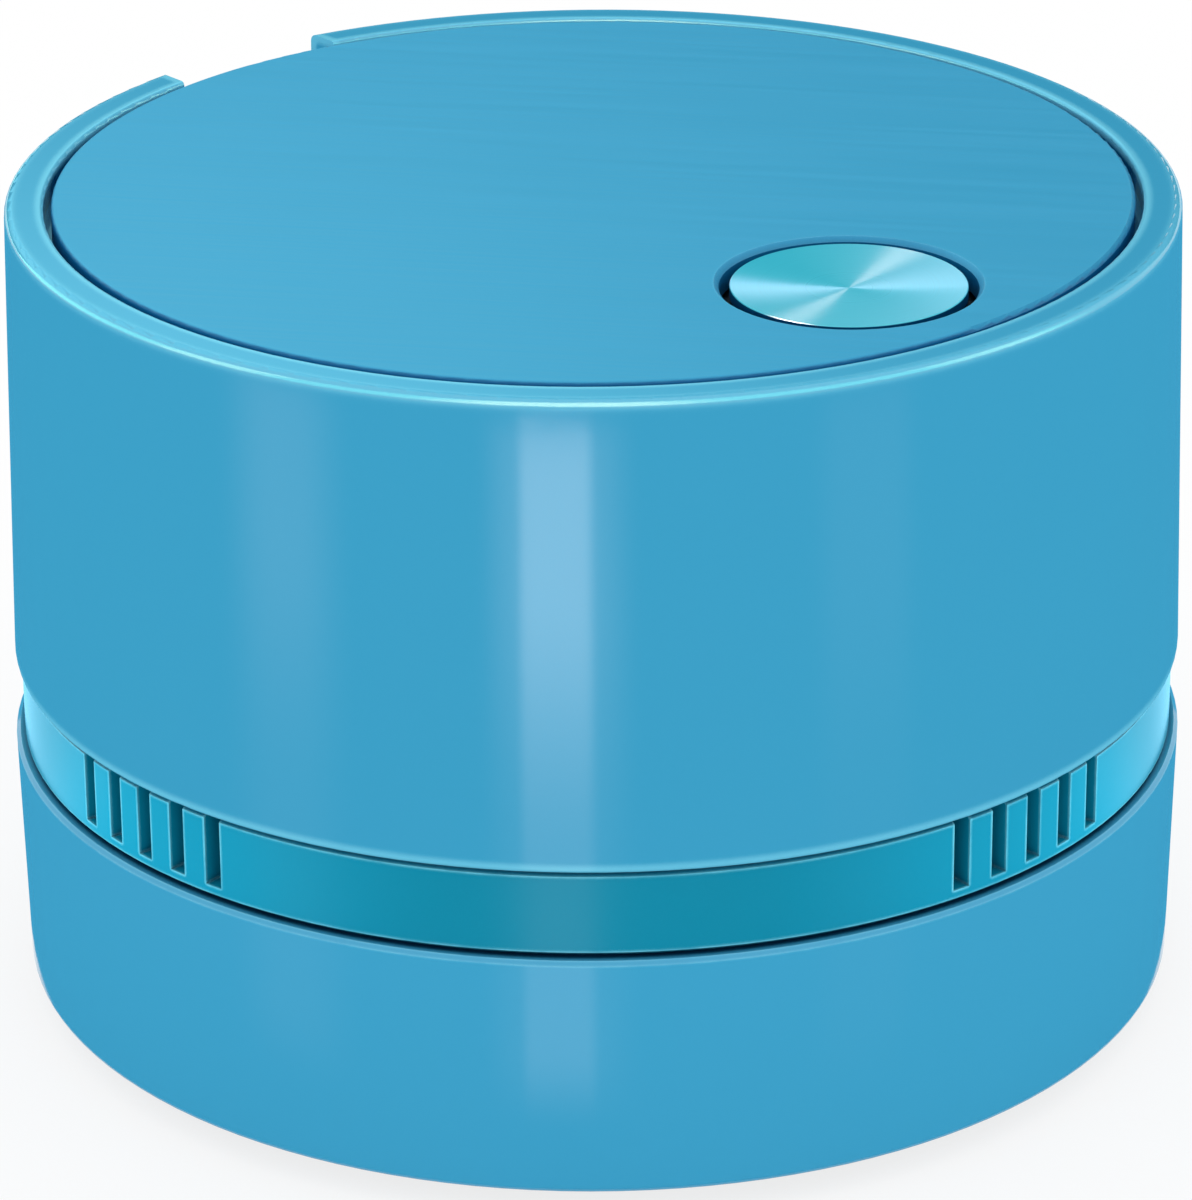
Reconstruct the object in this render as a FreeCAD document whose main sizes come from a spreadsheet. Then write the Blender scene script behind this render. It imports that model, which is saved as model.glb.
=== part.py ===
import FreeCAD, Part
import math
import os
import Sketcher

# Desktop mini vacuum cleaner.  The frame: +Z up, origin on the table under the
# centre of the round body, button towards -Y, finger notch towards +Y.
# Air comes up through the inlet chimney in the dust cup, through the filter and
# the guard plate into the fan, and leaves through the slots in the vent ring.

Vector = FreeCAD.Vector
doc = FreeCAD.newDocument("desk_vacuum")

DRIVING_SIZES = [
    # name, millimetres or degrees, what it is
    ("top_level", 60.2, "top of rim and lid"),
    ("cup_bottom", 2.0, "lower edge of the dust cup, carried on the brush"),
    ("cup_top", 19.95, "upper edge of the dust cup"),
    ("ring_bottom", 20.15, "lower edge of the vent ring's band"),
    ("ring_top", 26.3, "upper edge of the vent ring's band"),
    ("housing_bottom", 26.5, "lower edge of the upper housing"),
    ("rim_radius", 41.85, "housing, outside at the top"),
    ("housing_base_radius", 42.6, "housing, outside at the bottom"),
    ("housing_inner_radius", 40.2, "housing, inside"),
    ("rim_inner_radius", 39.1, "pocket for the lid"),
    ("ledge_inner_radius", 37.0, "ledge that carries the lid"),
    ("ledge_thickness", 1.5, "same ledge"),
    ("ring_radius", 42.15, "vent ring's band, outside"),
    ("spigot_radius", 40.1, "vent ring's collar inside the housing"),
    ("spigot_top", 31.0, "top of that collar"),
    ("fan_space_radius", 39.0, "vent ring, inside"),
    ("skirt_radius", 38.9, "vent ring's skirt inside the cup, outside"),
    ("skirt_inner_radius", 37.3, "same skirt, inside"),
    ("skirt_bottom", 12.6, "lower edge of the skirt"),
    ("cup_top_radius", 42.8, "dust cup, outside at the top"),
    ("cup_base_radius", 42.4, "dust cup, outside at the bottom"),
    ("cup_inner_radius", 40.6, "dust cup, inside"),
    ("cup_floor_bottom", 4.7, "underside of the cup's floor"),
    ("cup_floor_top", 6.2, "upper side of the cup's floor"),
    ("inlet_radius", 9.0, "suction inlet"),
    ("chimney_radius", 10.8, "outside of the inlet chimney"),
    ("chimney_top", 12.2, "mouth of the chimney"),
    ("lid_radius", 38.55, "lid"),
    ("lid_thickness", 1.8, "lid plate"),
    ("button_offset", 26.5, "button axis from the centre, towards -Y"),
    ("button_radius", 8.15, "button disc"),
    ("button_hole_radius", 8.9, "hole for it in the lid"),
    ("button_well_radius", 8.45, "guide tube in the tray"),
    ("button_sink", 0.2, "button below the lid's face"),
    ("button_travel", 1.6, "press of the button"),
    ("notch_width", 14.4, "finger notch in the rim"),
    ("notch_floor", 55.7, "bottom of the finger notch"),
    ("slot_width", 1.4, "vent slot"),
    ("slot_floor", 21.0, "bottom of the vent slots"),
    ("slot_pitch", 4.7, "degrees from slot to slot"),
    ("thread_lead", 42.0, "rise of the quick thread in a whole turn"),
    ("lug_bottom", 12.9, "lug on the skirt, at its lower end"),
    ("lug_height", 1.2, "same lug"),
    ("ramp_gap", 0.35, "lug to ramp"),
    ("tray_radius", 38.6, "battery tray's deck, under the ledge"),
    ("tray_top", 56.7, "upper side of the battery tray's deck"),
    ("tray_deck_thickness", 1.4, "same deck"),
    ("trough_bottom", 41.0, "underside of the battery troughs"),
    ("wall_thickness", 1.2, "moulded walls inside"),
    ("cell_offset", 18.5, "battery axis from the centre, along X"),
    ("cell_level", 49.5, "height of the battery axis"),
    ("cell_radius", 7.25, "battery, size AA"),
    ("cell_length", 50.5, "battery with its nub"),
    ("compartment_length", 54.8, "inside of a battery trough"),
    ("contact_thickness", 0.3, "battery contacts"),
    ("deck_bottom", 27.2, "underside of the fan deck"),
    ("deck_thickness", 1.5, "fan deck"),
    ("motor_radius", 10.05, "motor can, round sides"),
    ("motor_half_flat", 7.55, "motor can, centre to flat"),
    ("motor_height", 25.0, "can with its end cap"),
    ("motor_cap_height", 3.5, "plastic end cap"),
    ("can_thickness", 0.5, "motor can's steel"),
    ("shaft_radius", 1.0, "motor shaft"),
    ("bearing_clearance", 0.05, "shaft in its bushes, radial"),
    ("guard_bottom", 19.1, "underside of the guard plate"),
    ("guard_thickness", 1.2, "guard plate under the fan"),
    ("eye_radius", 13.0, "air opening in the guard plate"),
    ("fan_radius", 28.0, "fan wheel"),
    ("fan_bottom", 21.4, "lower edge of the blades"),
    ("fan_plate_bottom", 25.7, "fan's back plate"),
    ("case_screw_reach", 33.4, "long case screws from the centre"),
    ("tray_screw_reach", 34.0, "tray screws from the centre"),
    ("base_screw_reach", 26.0, "base screws from the centre"),
    ("filter_radius", 36.9, "filter frame, outside"),
    ("filter_bottom", 13.4, "filter frame, lower edge"),
    ("mesh_level", 16.2, "underside of the filter mesh"),
    ("mesh_thickness", 0.6, "filter mesh"),
    ("base_plate_bottom", 3.1, "underside of the brush plate"),
    ("lead_radius", 0.65, "insulated wire"),
    ("screw_radius", 1.1, "all screws, shank"),
    ("pilot_radius", 1.12, "moulded hole that a screw cuts its thread in"),
    ("screw_hole_radius", 1.25, "clearance hole for a screw"),
    ("screw_head_radius", 2.1, "pan head"),
    ("stem_radius", 2.4, "stem of the button's plunger"),
    ("slider_radius", 1.3, "switch slider"),
    ("switch_half_width", 4.2, "switch, half of its square body"),
    ("switch_height", 7.0, "same body"),
    ("seat_gap", 0.05, "lid above its ledge"),
    ("cell_gap", 0.1, "battery to its trough"),
]


class Size:
    """A size with its value and the sheet expression that gives it."""

    def __init__(self, value, text):
        self.value = value
        self.text = text

    def __add__(self, other):
        return Size(self.value + number(other), f"({self.text} + {wording(other)})")

    def __radd__(self, other):
        return Size(number(other) + self.value, f"({wording(other)} + {self.text})")

    def __sub__(self, other):
        return Size(self.value - number(other), f"({self.text} - {wording(other)})")

    def __rsub__(self, other):
        return Size(number(other) - self.value, f"({wording(other)} - {self.text})")

    def __mul__(self, factor):
        return Size(self.value * factor, f"({self.text} * {factor})")

    def __truediv__(self, divisor):
        return Size(self.value / divisor, f"({self.text} / {divisor})")

    def __neg__(self):
        return Size(-self.value, f"(-1 * {self.text})")


def number(size):
    return size.value if isinstance(size, Size) else size


def wording(size):
    return size.text if isinstance(size, Size) else repr(size)


class SizeSheet:
    """The driving sizes, each read by its name."""

    def __init__(self, rows):
        self.sheet = doc.addObject("Spreadsheet::Sheet", "Sizes")
        for row, (name, value, meaning) in enumerate(rows, start=1):
            self.sheet.set(f"A{row}", meaning)
            self.sheet.set(f"B{row}", str(value))
            self.sheet.setAlias(f"B{row}", name)
            setattr(self, name, Size(value, f"Sizes.{name}"))
        doc.recompute()


size = SizeSheet(DRIVING_SIZES)
sub_parts = []

# Levels and spans that follow from the driving sizes.
lid_bottom = size.top_level - size.lid_thickness
ledge_bottom = lid_bottom - size.ledge_thickness
tray_deck_bottom = size.tray_top - size.tray_deck_thickness
trough_half_length = size.compartment_length / 2
contact_face = trough_half_length - size.contact_thickness
deck_top = size.deck_bottom + size.deck_thickness
motor_top = deck_top + size.motor_height
can_top = motor_top - size.motor_cap_height
guard_top = size.guard_bottom + size.guard_thickness
button_top = size.top_level - size.button_sink
well_top = lid_bottom - 0.6
switch_low = size.trough_bottom + size.wall_thickness
switch_high = switch_low + size.switch_height
pin_low = size.trough_bottom - 1.8
tab_low = size.trough_bottom - 1.4
solder_level = motor_top + 0.75


# ---------------------------------------------------------------- workshop tools

def bind(feature, prop, amount):
    """Give a property its size, and the sheet expression with it."""
    if isinstance(amount, Size):
        feature.setExpression(prop, amount.text)
    else:
        setattr(feature, prop, amount)


def keep(feature, label=None):
    """Count a finished object as one of the sub-parts."""
    if label:
        feature.Label = label
    sub_parts.append(feature)
    return feature


def place(feature, x=0, y=0, z=0, rotation=None):
    base = Vector(number(x), number(y), number(z))
    feature.Placement = FreeCAD.Placement(base, rotation or FreeCAD.Rotation())
    for axis, amount in (("x", x), ("y", y), ("z", z)):
        if isinstance(amount, Size):
            feature.setExpression(f"Placement.Base.{axis}", amount.text)
    return feature


def new_body(label):
    body = doc.addObject("PartDesign::Body", label)
    body.AllowCompound = True
    return keep(body, label)


def origin_of(body, role):
    return next(item for item in body.Origin.OriginFeatures if item.Role == role)


def new_sketch(body, role, lift=0, turn=0):
    """A sketch on an origin plane, lifted along its normal and turned about +Z."""
    sketch = body.newObject("Sketcher::SketchObject", f"{body.Name}_sketch")
    sketch.AttachmentSupport = (origin_of(body, role), [""])
    sketch.MapMode = "FlatFace"
    upright = Vector(0, 0, 1) if role == "XY_Plane" else Vector(0, 1, 0)
    shift = Vector(0, 0, number(lift))
    sketch.AttachmentOffset = FreeCAD.Placement(shift, FreeCAD.Rotation(upright, turn))
    if isinstance(lift, Size):
        sketch.setExpression("AttachmentOffset.Base.z", lift.text)
    return sketch


def fix_point(sketch, geometry, point, x, y):
    """Hold one point of the sketch at x, y from its origin."""
    for kind, amount, axis in (("DistanceX", x, -2), ("DistanceY", y, -1)):
        if number(amount) == 0:
            sketch.addConstraint(Sketcher.Constraint("PointOnObject", geometry, point, axis))
            continue
        index = sketch.addConstraint(Sketcher.Constraint(kind, -1, 1, geometry, point, number(amount)))
        if isinstance(amount, Size):
            sketch.setExpression(f"Constraints[{index}]", amount.text)


def draw_path(sketch, corners):
    """A closed outline of straight lines through the corners."""
    first = sketch.GeometryCount
    count = len(corners)
    for index, corner in enumerate(corners):
        start = Vector(number(corner[0]), number(corner[1]), 0)
        following = corners[(index + 1) % count]
        end = Vector(number(following[0]), number(following[1]), 0)
        sketch.addGeometry(Part.LineSegment(start, end), False)
    for index in range(count):
        follower = first + (index + 1) % count
        sketch.addConstraint(Sketcher.Constraint("Coincident", first + index, 2, follower, 1))
    for index, (x, y) in enumerate(corners):
        fix_point(sketch, first + index, 1, x, y)


def draw_circle(sketch, x, y, radius):
    centre = Vector(number(x), number(y), 0)
    circle = sketch.addGeometry(Part.Circle(centre, Vector(0, 0, 1), number(radius)), False)
    if number(x) == 0 and number(y) == 0:
        sketch.addConstraint(Sketcher.Constraint("Coincident", circle, 3, -1, 1))
    else:
        fix_point(sketch, circle, 3, x, y)
    index = sketch.addConstraint(Sketcher.Constraint("Radius", circle, number(radius)))
    if isinstance(radius, Size):
        sketch.setExpression(f"Constraints[{index}]", radius.text)


def circle(x, y, radius):
    return lambda sketch: draw_circle(sketch, x, y, radius)


def path(corners):
    return lambda sketch: draw_path(sketch, corners)


def rectangle(x_low, x_high, y_low, y_high):
    return path([(x_low, y_low), (x_high, y_low), (x_high, y_high), (x_low, y_high)])


def revolve(body, corners, angle=360, turn=0):
    """A solid of revolution about Z from (radius, height) corners."""
    sketch = new_sketch(body, "XZ_Plane", turn=turn)
    draw_path(sketch, corners)
    feature = body.newObject("PartDesign::Revolution", f"{body.Name}_turned")
    feature.Profile = sketch
    feature.ReferenceAxis = (origin_of(body, "Z_Axis"), [""])
    feature.Angle = angle
    doc.recompute()
    return feature


def pad(body, low, high, *shapes, turn=0):
    """Material between two levels, with the shapes as its plan."""
    sketch = new_sketch(body, "XY_Plane", low, turn)
    for shape in shapes:
        shape(sketch)
    feature = body.newObject("PartDesign::Pad", f"{body.Name}_pad")
    feature.Profile = sketch
    bind(feature, "Length", high - low)
    doc.recompute()
    return feature


def check_cut(feature, before, body):
    if feature.Shape.Volume > before - 1e-6:
        raise RuntimeError(f"{body.Label}: {feature.Name} removes nothing")


def pocket(body, low, high, *shapes, turn=0):
    """A cut between two levels, with the shapes as its plan."""
    before = body.Shape.Volume
    sketch = new_sketch(body, "XY_Plane", low, turn)
    for shape in shapes:
        shape(sketch)
    feature = body.newObject("PartDesign::Pocket", f"{body.Name}_pocket")
    feature.Profile = sketch
    feature.Reversed = True
    bind(feature, "Length", high - low)
    doc.recompute()
    check_cut(feature, before, body)
    return feature


def pocket_towards_back(body, y_low, y_high, *shapes):
    """A cut along +Y, with the shapes drawn in X and Z."""
    before = body.Shape.Volume
    sketch = new_sketch(body, "XZ_Plane", -y_low)
    for shape in shapes:
        shape(sketch)
    feature = body.newObject("PartDesign::Pocket", f"{body.Name}_cut")
    feature.Profile = sketch
    bind(feature, "Length", y_high - y_low)
    doc.recompute()
    check_cut(feature, before, body)
    return feature


def ring_of(body, features, count, angle=360):
    """Repeat features about Z, over the whole angle from first to last."""
    pattern = body.newObject("PartDesign::PolarPattern", f"{body.Name}_pattern")
    pattern.Originals = features
    pattern.Axis = (origin_of(body, "Z_Axis"), [""])
    bind(pattern, "Angle", angle)
    pattern.Occurrences = count
    body.Tip = pattern
    doc.recompute()
    return pattern


def round_edges(feature, level, radius):
    """Names of the circular edges at a level with a radius."""
    names = []
    for index, edge in enumerate(feature.Shape.Edges, start=1):
        curve = edge.Curve
        if not isinstance(curve, Part.Circle):
            continue
        at_level = abs(curve.Center.z - number(level)) < 0.01
        if at_level and abs(curve.Radius - number(radius)) < 0.01:
            names.append(f"Edge{index}")
    return names


def finish_edges(body, kind, edge_names, amount):
    """A Fillet or Chamfer on named edges of the body's last feature."""
    if not edge_names:
        raise RuntimeError(f"{body.Label}: no edge found for a {kind}")
    feature = body.newObject(f"PartDesign::{kind}", f"{body.Name}_{kind.lower()}")
    feature.Base = (body.Group[-2], edge_names)
    if kind == "Fillet":
        feature.Radius = amount
    else:
        feature.Size = amount
    body.Tip = feature
    doc.recompute()
    return feature


def helical_ridge(body, corners, turn, sweep):
    """A ridge on the quick thread, swept up and anticlockwise from its start."""
    sketch = new_sketch(body, "XZ_Plane", turn=turn)
    draw_path(sketch, corners)
    ridge = body.newObject("PartDesign::AdditiveHelix", f"{body.Name}_ridge")
    ridge.Profile = sketch
    ridge.ReferenceAxis = (sketch, ["V_Axis"])
    ridge.Mode = "pitch-height-angle"
    bind(ridge, "Pitch", size.thread_lead)
    bind(ridge, "Height", size.thread_lead * (sweep / 360))
    doc.recompute()
    return ridge


def block(name, x_low, x_high, y_low, y_high, z_low, z_high):
    solid = doc.addObject("Part::Box", name)
    bind(solid, "Length", x_high - x_low)
    bind(solid, "Width", y_high - y_low)
    bind(solid, "Height", z_high - z_low)
    return place(solid, x_low, y_low, z_low)


def rod(name, radius, z_low, z_high, x=0, y=0):
    solid = doc.addObject("Part::Cylinder", name)
    bind(solid, "Radius", radius)
    bind(solid, "Height", z_high - z_low)
    return place(solid, x, y, z_low)


def cut(name, base, tool):
    result = doc.addObject("Part::Cut", name)
    result.Base = base
    result.Tool = tool
    return result


def common(name, *shapes):
    result = doc.addObject("Part::MultiCommon", name)
    result.Shapes = list(shapes)
    return result


def fuse(name, *shapes):
    result = doc.addObject("Part::MultiFuse", name)
    result.Shapes = list(shapes)
    return result


def group(label, *shapes):
    """Separate solids kept as one sub-part."""
    result = doc.addObject("Part::Compound", label)
    result.Links = list(shapes)
    return keep(result, label)


def coil(name, radius, wire, length, turns, taper=0):
    """A wound spring standing on z = 0, with its cone's half angle in degrees."""
    helix = doc.addObject("Part::Helix", f"{name}_helix")
    bind(helix, "Height", length)
    bind(helix, "Pitch", length / turns)
    bind(helix, "Radius", radius)
    helix.Angle = taper
    section = doc.addObject("Part::Circle", f"{name}_section")
    bind(section, "Radius", wire)
    place(section, x=radius, rotation=FreeCAD.Rotation(Vector(1, 0, 0), 90))
    spring = doc.addObject("Part::Sweep", name)
    spring.Sections = [section]
    spring.Spine = (helix, ["Edge1"])
    spring.Solid = True
    spring.Frenet = True
    return spring


def tube_along(points, radius, bend=2.4):
    """A wire of straight runs and tangent arcs through the points, as a solid."""
    edges = []
    start = points[0]
    for here, corner, after in zip(points, points[1:], points[2:]):
        towards_in = (here - corner).normalize()
        towards_out = (after - corner).normalize()
        half_angle = towards_in.getAngle(towards_out) / 2
        reach = bend / math.tan(half_angle)
        room = 0.45 * min((here - corner).Length, (after - corner).Length)
        reach = min(reach, room)
        turn_radius = reach * math.tan(half_angle)
        arc_in = corner + towards_in * reach
        arc_out = corner + towards_out * reach
        bisector = (towards_in + towards_out).normalize()
        to_centre = turn_radius / math.sin(half_angle)
        arc_middle = corner + bisector * (to_centre - turn_radius)
        edges.append(Part.LineSegment(start, arc_in).toShape())
        edges.append(Part.Arc(arc_in, arc_middle, arc_out).toShape())
        start = arc_out
    edges.append(Part.LineSegment(start, points[-1]).toShape())
    spine = Part.Wire(edges)
    first_direction = (points[1] - points[0]).normalize()
    section = Part.Wire(Part.makeCircle(radius, points[0], first_direction))
    solid = spine.makePipeShell([section], True, False)
    expected = math.pi * radius ** 2 * spine.Length
    if abs(solid.Volume / expected - 1) > 0.02:
        raise RuntimeError("a wire's volume isn't its section times its length")
    return solid


def made_shape(label, shape):
    feature = doc.addObject("Part::Feature", label)
    feature.Shape = shape
    return feature


def case_screw_holes(body, low, high):
    """Clearance holes for the four long case screws."""
    hole = circle(size.case_screw_reach, 0, size.screw_hole_radius)
    first = pocket(body, low, high, hole, turn=CASE_SCREW_ANGLES[0])
    ring_of(body, [first], len(CASE_SCREW_ANGLES))


def screws(label, reach, angles, head, shank, recess):
    """Cross-recessed screws round the centre; head, shank and recess are level pairs."""
    body = new_body(label)
    arm = 1.2
    half_slot = 0.3
    for turn in angles:
        pad(body, *head, circle(reach, 0, size.screw_head_radius), turn=turn)
        pad(body, *shank, circle(reach, 0, size.screw_radius), turn=turn)
        for along, across in ((arm, half_slot), (half_slot, arm)):
            pocket(body, *recess, rectangle(reach - along, reach + along, -across, across), turn=turn)
    return body


# -------------------------------------------------- places round the centre line

CASE_SCREW_ANGLES = (45, 135, 225, 315)
TRAY_SCREW_ANGLES = (90, 205, 335)
BASE_SCREW_ANGLES = (90, 210, 330)
LID_TONGUE_ANGLES = (0, 40, 140, 180)
# Middle of each group of vent slots, in degrees from +X.
SLOT_GROUPS = (-179.3, -85.4, 0.7, 94.6)
SLOTS_IN_GROUP = 5
FAN_BLADES = 9
BRUSH_ROWS = 6
# Quick thread: lugs on the skirt run up under ramps in the cup, in degrees.
THREAD_STARTS = 3
LUG_START = 14
LUG_SWEEP = 12
RAMP_START = 12
RAMP_SWEEP = 28
# Terminal rows of the switch and of the motor, from their axes.
SWITCH_PIN_X = 2.6
TERMINAL_Y = 6.4
# The filter's forked legs stand astride the chimney's fins.
FIN_COUNT = 3
FIN_HALF_WIDTH = 0.6
FORK_HALF_GAP = 1.0
LEG_BOTTOM = 9.7


# ------------------------------------------------------------- housing and lid

def make_upper_housing():
    """Tapered round shell, open below, with a ledge for the lid and a finger notch."""
    seat = lid_bottom - size.seat_gap
    body = new_body("upper_housing")
    shell = revolve(body, [
        (size.housing_base_radius, size.housing_bottom),
        (size.rim_radius, size.top_level),
        (size.rim_inner_radius, size.top_level),
        (size.rim_inner_radius, seat),
        (size.ledge_inner_radius, seat),
        (size.ledge_inner_radius, ledge_bottom),
        (size.housing_inner_radius, ledge_bottom),
        (size.housing_inner_radius, size.housing_bottom),
    ])
    finish_edges(body, "Fillet", round_edges(shell, size.top_level, size.rim_radius), 0.6)
    rounded = body.Tip
    finish_edges(body, "Fillet", round_edges(rounded, size.top_level, size.rim_inner_radius), 0.3)
    rounded = body.Tip
    finish_edges(body, "Fillet", round_edges(rounded, size.housing_bottom, size.housing_base_radius), 0.3)
    # Bosses for the tray screws, each on a web to the wall.
    boss_length = 11
    boss_radius = 2.5
    boss_bottom = tray_deck_bottom - boss_length
    reach = size.tray_screw_reach
    for turn in TRAY_SCREW_ANGLES:
        web = rectangle(reach, size.housing_inner_radius + 0.4, -0.8, 0.8)
        pad(body, boss_bottom, tray_deck_bottom, web, turn=turn)
        pad(body, boss_bottom, tray_deck_bottom, circle(reach, 0, boss_radius), turn=turn)
        pocket(body, boss_bottom + 1, tray_deck_bottom, circle(reach, 0, size.pilot_radius), turn=turn)
    # The notch takes the rim away in full, and stops short of the lid's ledge.
    half_width = size.notch_width / 2
    for start, low, high in (
            (size.lid_radius - 1.5, seat, size.top_level + 1),
            (size.lid_radius + 0.2, size.notch_floor, seat)):
        pocket_towards_back(
            body, start, size.rim_radius + 3, rectangle(-half_width, half_width, low, high))
    corners = []
    for index, edge in enumerate(body.Tip.Shape.Edges, start=1):
        box = edge.BoundBox
        at_side = abs(abs(box.Center.x) - half_width.value) < 0.01
        on_floor = abs(box.ZMin - size.notch_floor.value) < 0.01
        if at_side and on_floor and box.XLength < 0.01 and box.ZLength < 0.01:
            corners.append(f"Edge{index}")
    finish_edges(body, "Fillet", corners, 1.2)


def make_lid():
    """Battery cover: a flat disc with the button's hole and four locating tongues."""
    body = new_body("lid")
    disc = pad(body, lid_bottom, size.top_level, circle(0, 0, size.lid_radius))
    finish_edges(body, "Fillet", round_edges(disc, size.top_level, size.lid_radius), 0.3)
    # A stiffening ring below, relieved over the button's well and the tray screws.
    ring_outer = size.ledge_inner_radius - 0.8
    ring_inner = ring_outer - 1.2
    ring_low = lid_bottom - 1.1
    tongue_low = lid_bottom - 1.4
    tongue_half_width = 4.5
    pad(body, ring_low, lid_bottom, circle(0, 0, ring_outer), circle(0, 0, ring_inner))
    for turn in LID_TONGUE_ANGLES:
        tongue = rectangle(ring_inner + 0.1, ring_outer + 0.05, -tongue_half_width, tongue_half_width)
        pad(body, tongue_low, lid_bottom, tongue, turn=turn)
    for turn in TRAY_SCREW_ANGLES:
        over_screw = circle(size.tray_screw_reach, 0, size.screw_head_radius + 0.6)
        pocket(body, ring_low - 0.1, lid_bottom, over_screw, turn=turn)
    hole = circle(0, -size.button_offset, size.button_hole_radius)
    over_well = circle(0, -size.button_offset, size.button_well_radius + 1.65)
    pocket(body, ring_low - 0.1, lid_bottom, over_well)
    opened = pocket(body, lid_bottom, size.top_level, hole)
    mouth = round_edges(opened, size.top_level, size.button_hole_radius)
    finish_edges(body, "Chamfer", mouth, 0.35)


def make_lid_pads():
    """Foam strips under the lid that keep the cells from rattling."""
    pads = []
    half_width = 5
    half_length = 18
    thickness = 1.2
    for name, side in (("left_pad", -1), ("right_pad", 1)):
        middle = size.cell_offset * side
        pads.append(block(
            name, middle - half_width, middle + half_width, -half_length, half_length,
            lid_bottom - thickness, lid_bottom))
    group("lid_pads", *pads)


# ------------------------------------------------------------------ push button

def make_button():
    """Metal disc on a moulded plunger, a return spring, and the switch below."""
    disc_thickness = 0.9
    plunger_wall = 1.1
    skirt_length = 3.4
    socket_depth = 3.4
    cap_low = button_top - disc_thickness
    plate_low = cap_low - 1.2
    skirt_low = plate_low - skirt_length
    # Pressed in, the stem still stands clear of the switch.
    stem_low = switch_high + size.button_travel + 0.8
    cap_radius = size.button_radius
    axis_y = -size.button_offset
    cap = new_body("button_cap")
    revolve(cap, [
        (0, cap_low),
        (cap_radius, cap_low),
        (cap_radius, button_top - 0.25),
        (cap_radius - 0.25, button_top),
        (0, button_top),
    ])
    place(cap, y=axis_y)

    plunger = new_body("button_plunger")
    revolve(plunger, [
        (0, cap_low),
        (cap_radius - 0.05, cap_low),
        (cap_radius - 0.05, skirt_low),
        (cap_radius - plunger_wall, skirt_low),
        (cap_radius - plunger_wall, plate_low),
        (size.stem_radius, plate_low),
        (size.stem_radius, stem_low),
        (size.slider_radius, stem_low),
        (size.slider_radius, stem_low + socket_depth),
        (0, stem_low + socket_depth),
    ])
    place(plunger, y=axis_y)

    bore_low = switch_low + 0.8
    slider_low = bore_low + size.button_travel + 0.4
    keep(rod("switch_slider", size.slider_radius, slider_low, stem_low + socket_depth, y=axis_y))

    half_width = size.switch_half_width
    shell = block(
        "switch_shell", -half_width, half_width, axis_y - half_width, axis_y + half_width,
        switch_low, switch_high)
    bore = rod("switch_bore", size.slider_radius + 0.07, bore_low, switch_high + 1, y=axis_y)
    keep(cut("switch_body", shell, bore))

    pins = []
    for column, x in enumerate((-SWITCH_PIN_X, SWITCH_PIN_X)):
        for row, y_shift in enumerate((-2.4, 0, 2.4)):
            y = axis_y + y_shift
            pins.append(block(
                f"pin_{column}_{row}", x - 0.3, x + 0.3, y - 0.15, y + 0.15, pin_low, switch_low))
    group("switch_pins", *pins)

    wire = 0.3
    spring = coil("button_spring", 3.5, wire, plate_low - switch_high - wire * 2, 5)
    place(spring, y=axis_y, z=switch_high + wire)
    keep(spring)


# --------------------------------------------------- battery tray and its cells

def make_battery_tray():
    """Deck with two battery troughs, the button's guide well and four legs."""
    body = new_body("battery_tray")
    wall = size.wall_thickness
    offset = size.cell_offset
    half_width = size.cell_radius + size.cell_gap
    half_length = trough_half_length
    well_y = -size.button_offset
    well_wall = 1.15
    pad(body, tray_deck_bottom, size.tray_top, circle(0, 0, size.tray_radius))
    for side in (-1, 1):
        middle = offset * side
        outline = rectangle(
            middle - half_width - wall, middle + half_width + wall, -half_length - wall, half_length + wall)
        pad(body, size.trough_bottom, tray_deck_bottom, outline)
    pad(body, size.trough_bottom, well_top, circle(0, well_y, size.button_well_radius + well_wall))
    # Troughs: straight sides above the cell's axis, a round bed below it.
    for side in (-1, 1):
        middle = offset * side
        pocket(
            body, size.cell_level, size.tray_top + 0.1,
            rectangle(middle - half_width, middle + half_width, -half_length, half_length))
        pocket_towards_back(body, -half_length, half_length, circle(middle, size.cell_level, half_width))
    pocket(body, size.trough_bottom + wall, size.top_level, circle(0, well_y, size.button_well_radius))
    pocket(
        body, size.trough_bottom - 0.1, size.trough_bottom + wall,
        rectangle(-3.1, 3.1, well_y - 2.8, well_y + 2.8))
    for turn in CASE_SCREW_ANGLES:
        leg = circle(size.case_screw_reach, 0, 3.0)
        pilot = circle(size.case_screw_reach, 0, size.pilot_radius)
        pad(body, deck_top + 0.02, size.trough_bottom + 0.1, leg, turn=turn)
        pocket(body, deck_top, size.trough_bottom - 1, pilot, turn=turn)
    for turn in TRAY_SCREW_ANGLES:
        hole = circle(size.tray_screw_reach, 0, size.screw_hole_radius)
        pocket(body, tray_deck_bottom, size.tray_top, hole, turn=turn)
    # Slits that let the two end contacts' tabs out through the trough floors.
    for side in (-1, 1):
        middle = offset * side
        pocket(
            body, size.trough_bottom - 0.1, size.trough_bottom + 4,
            rectangle(middle - 1.6, middle + 1.6, -half_length, -contact_face + 0.1))


def make_cell(label, side):
    """AA cell lying along Y: can, crimped shoulder, nub and recessed foot."""
    body = new_body(label)
    radius = size.cell_radius
    can_end = size.cell_length - 1.0
    revolve(body, [
        (0, 0.2),
        (4.6, 0.2),
        (5.2, 0),
        (radius - 0.5, 0),
        (radius, 0.5),
        (radius, can_end - 0.6),
        (radius - 0.6, can_end),
        (radius - 1.4, can_end),
        (radius - 1.7, can_end - 0.3),
        (2.8, can_end - 0.3),
        (2.6, size.cell_length),
        (0, size.cell_length),
    ])
    # The left cell points its nub to +Y, the right one to -Y.
    nub_end = contact_face * -side
    foot = size.cell_length * side + nub_end
    turned = FreeCAD.Rotation(Vector(1, 0, 0), 90 * side)
    place(body, x=size.cell_offset * side, y=foot, z=size.cell_level, rotation=turned)


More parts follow.
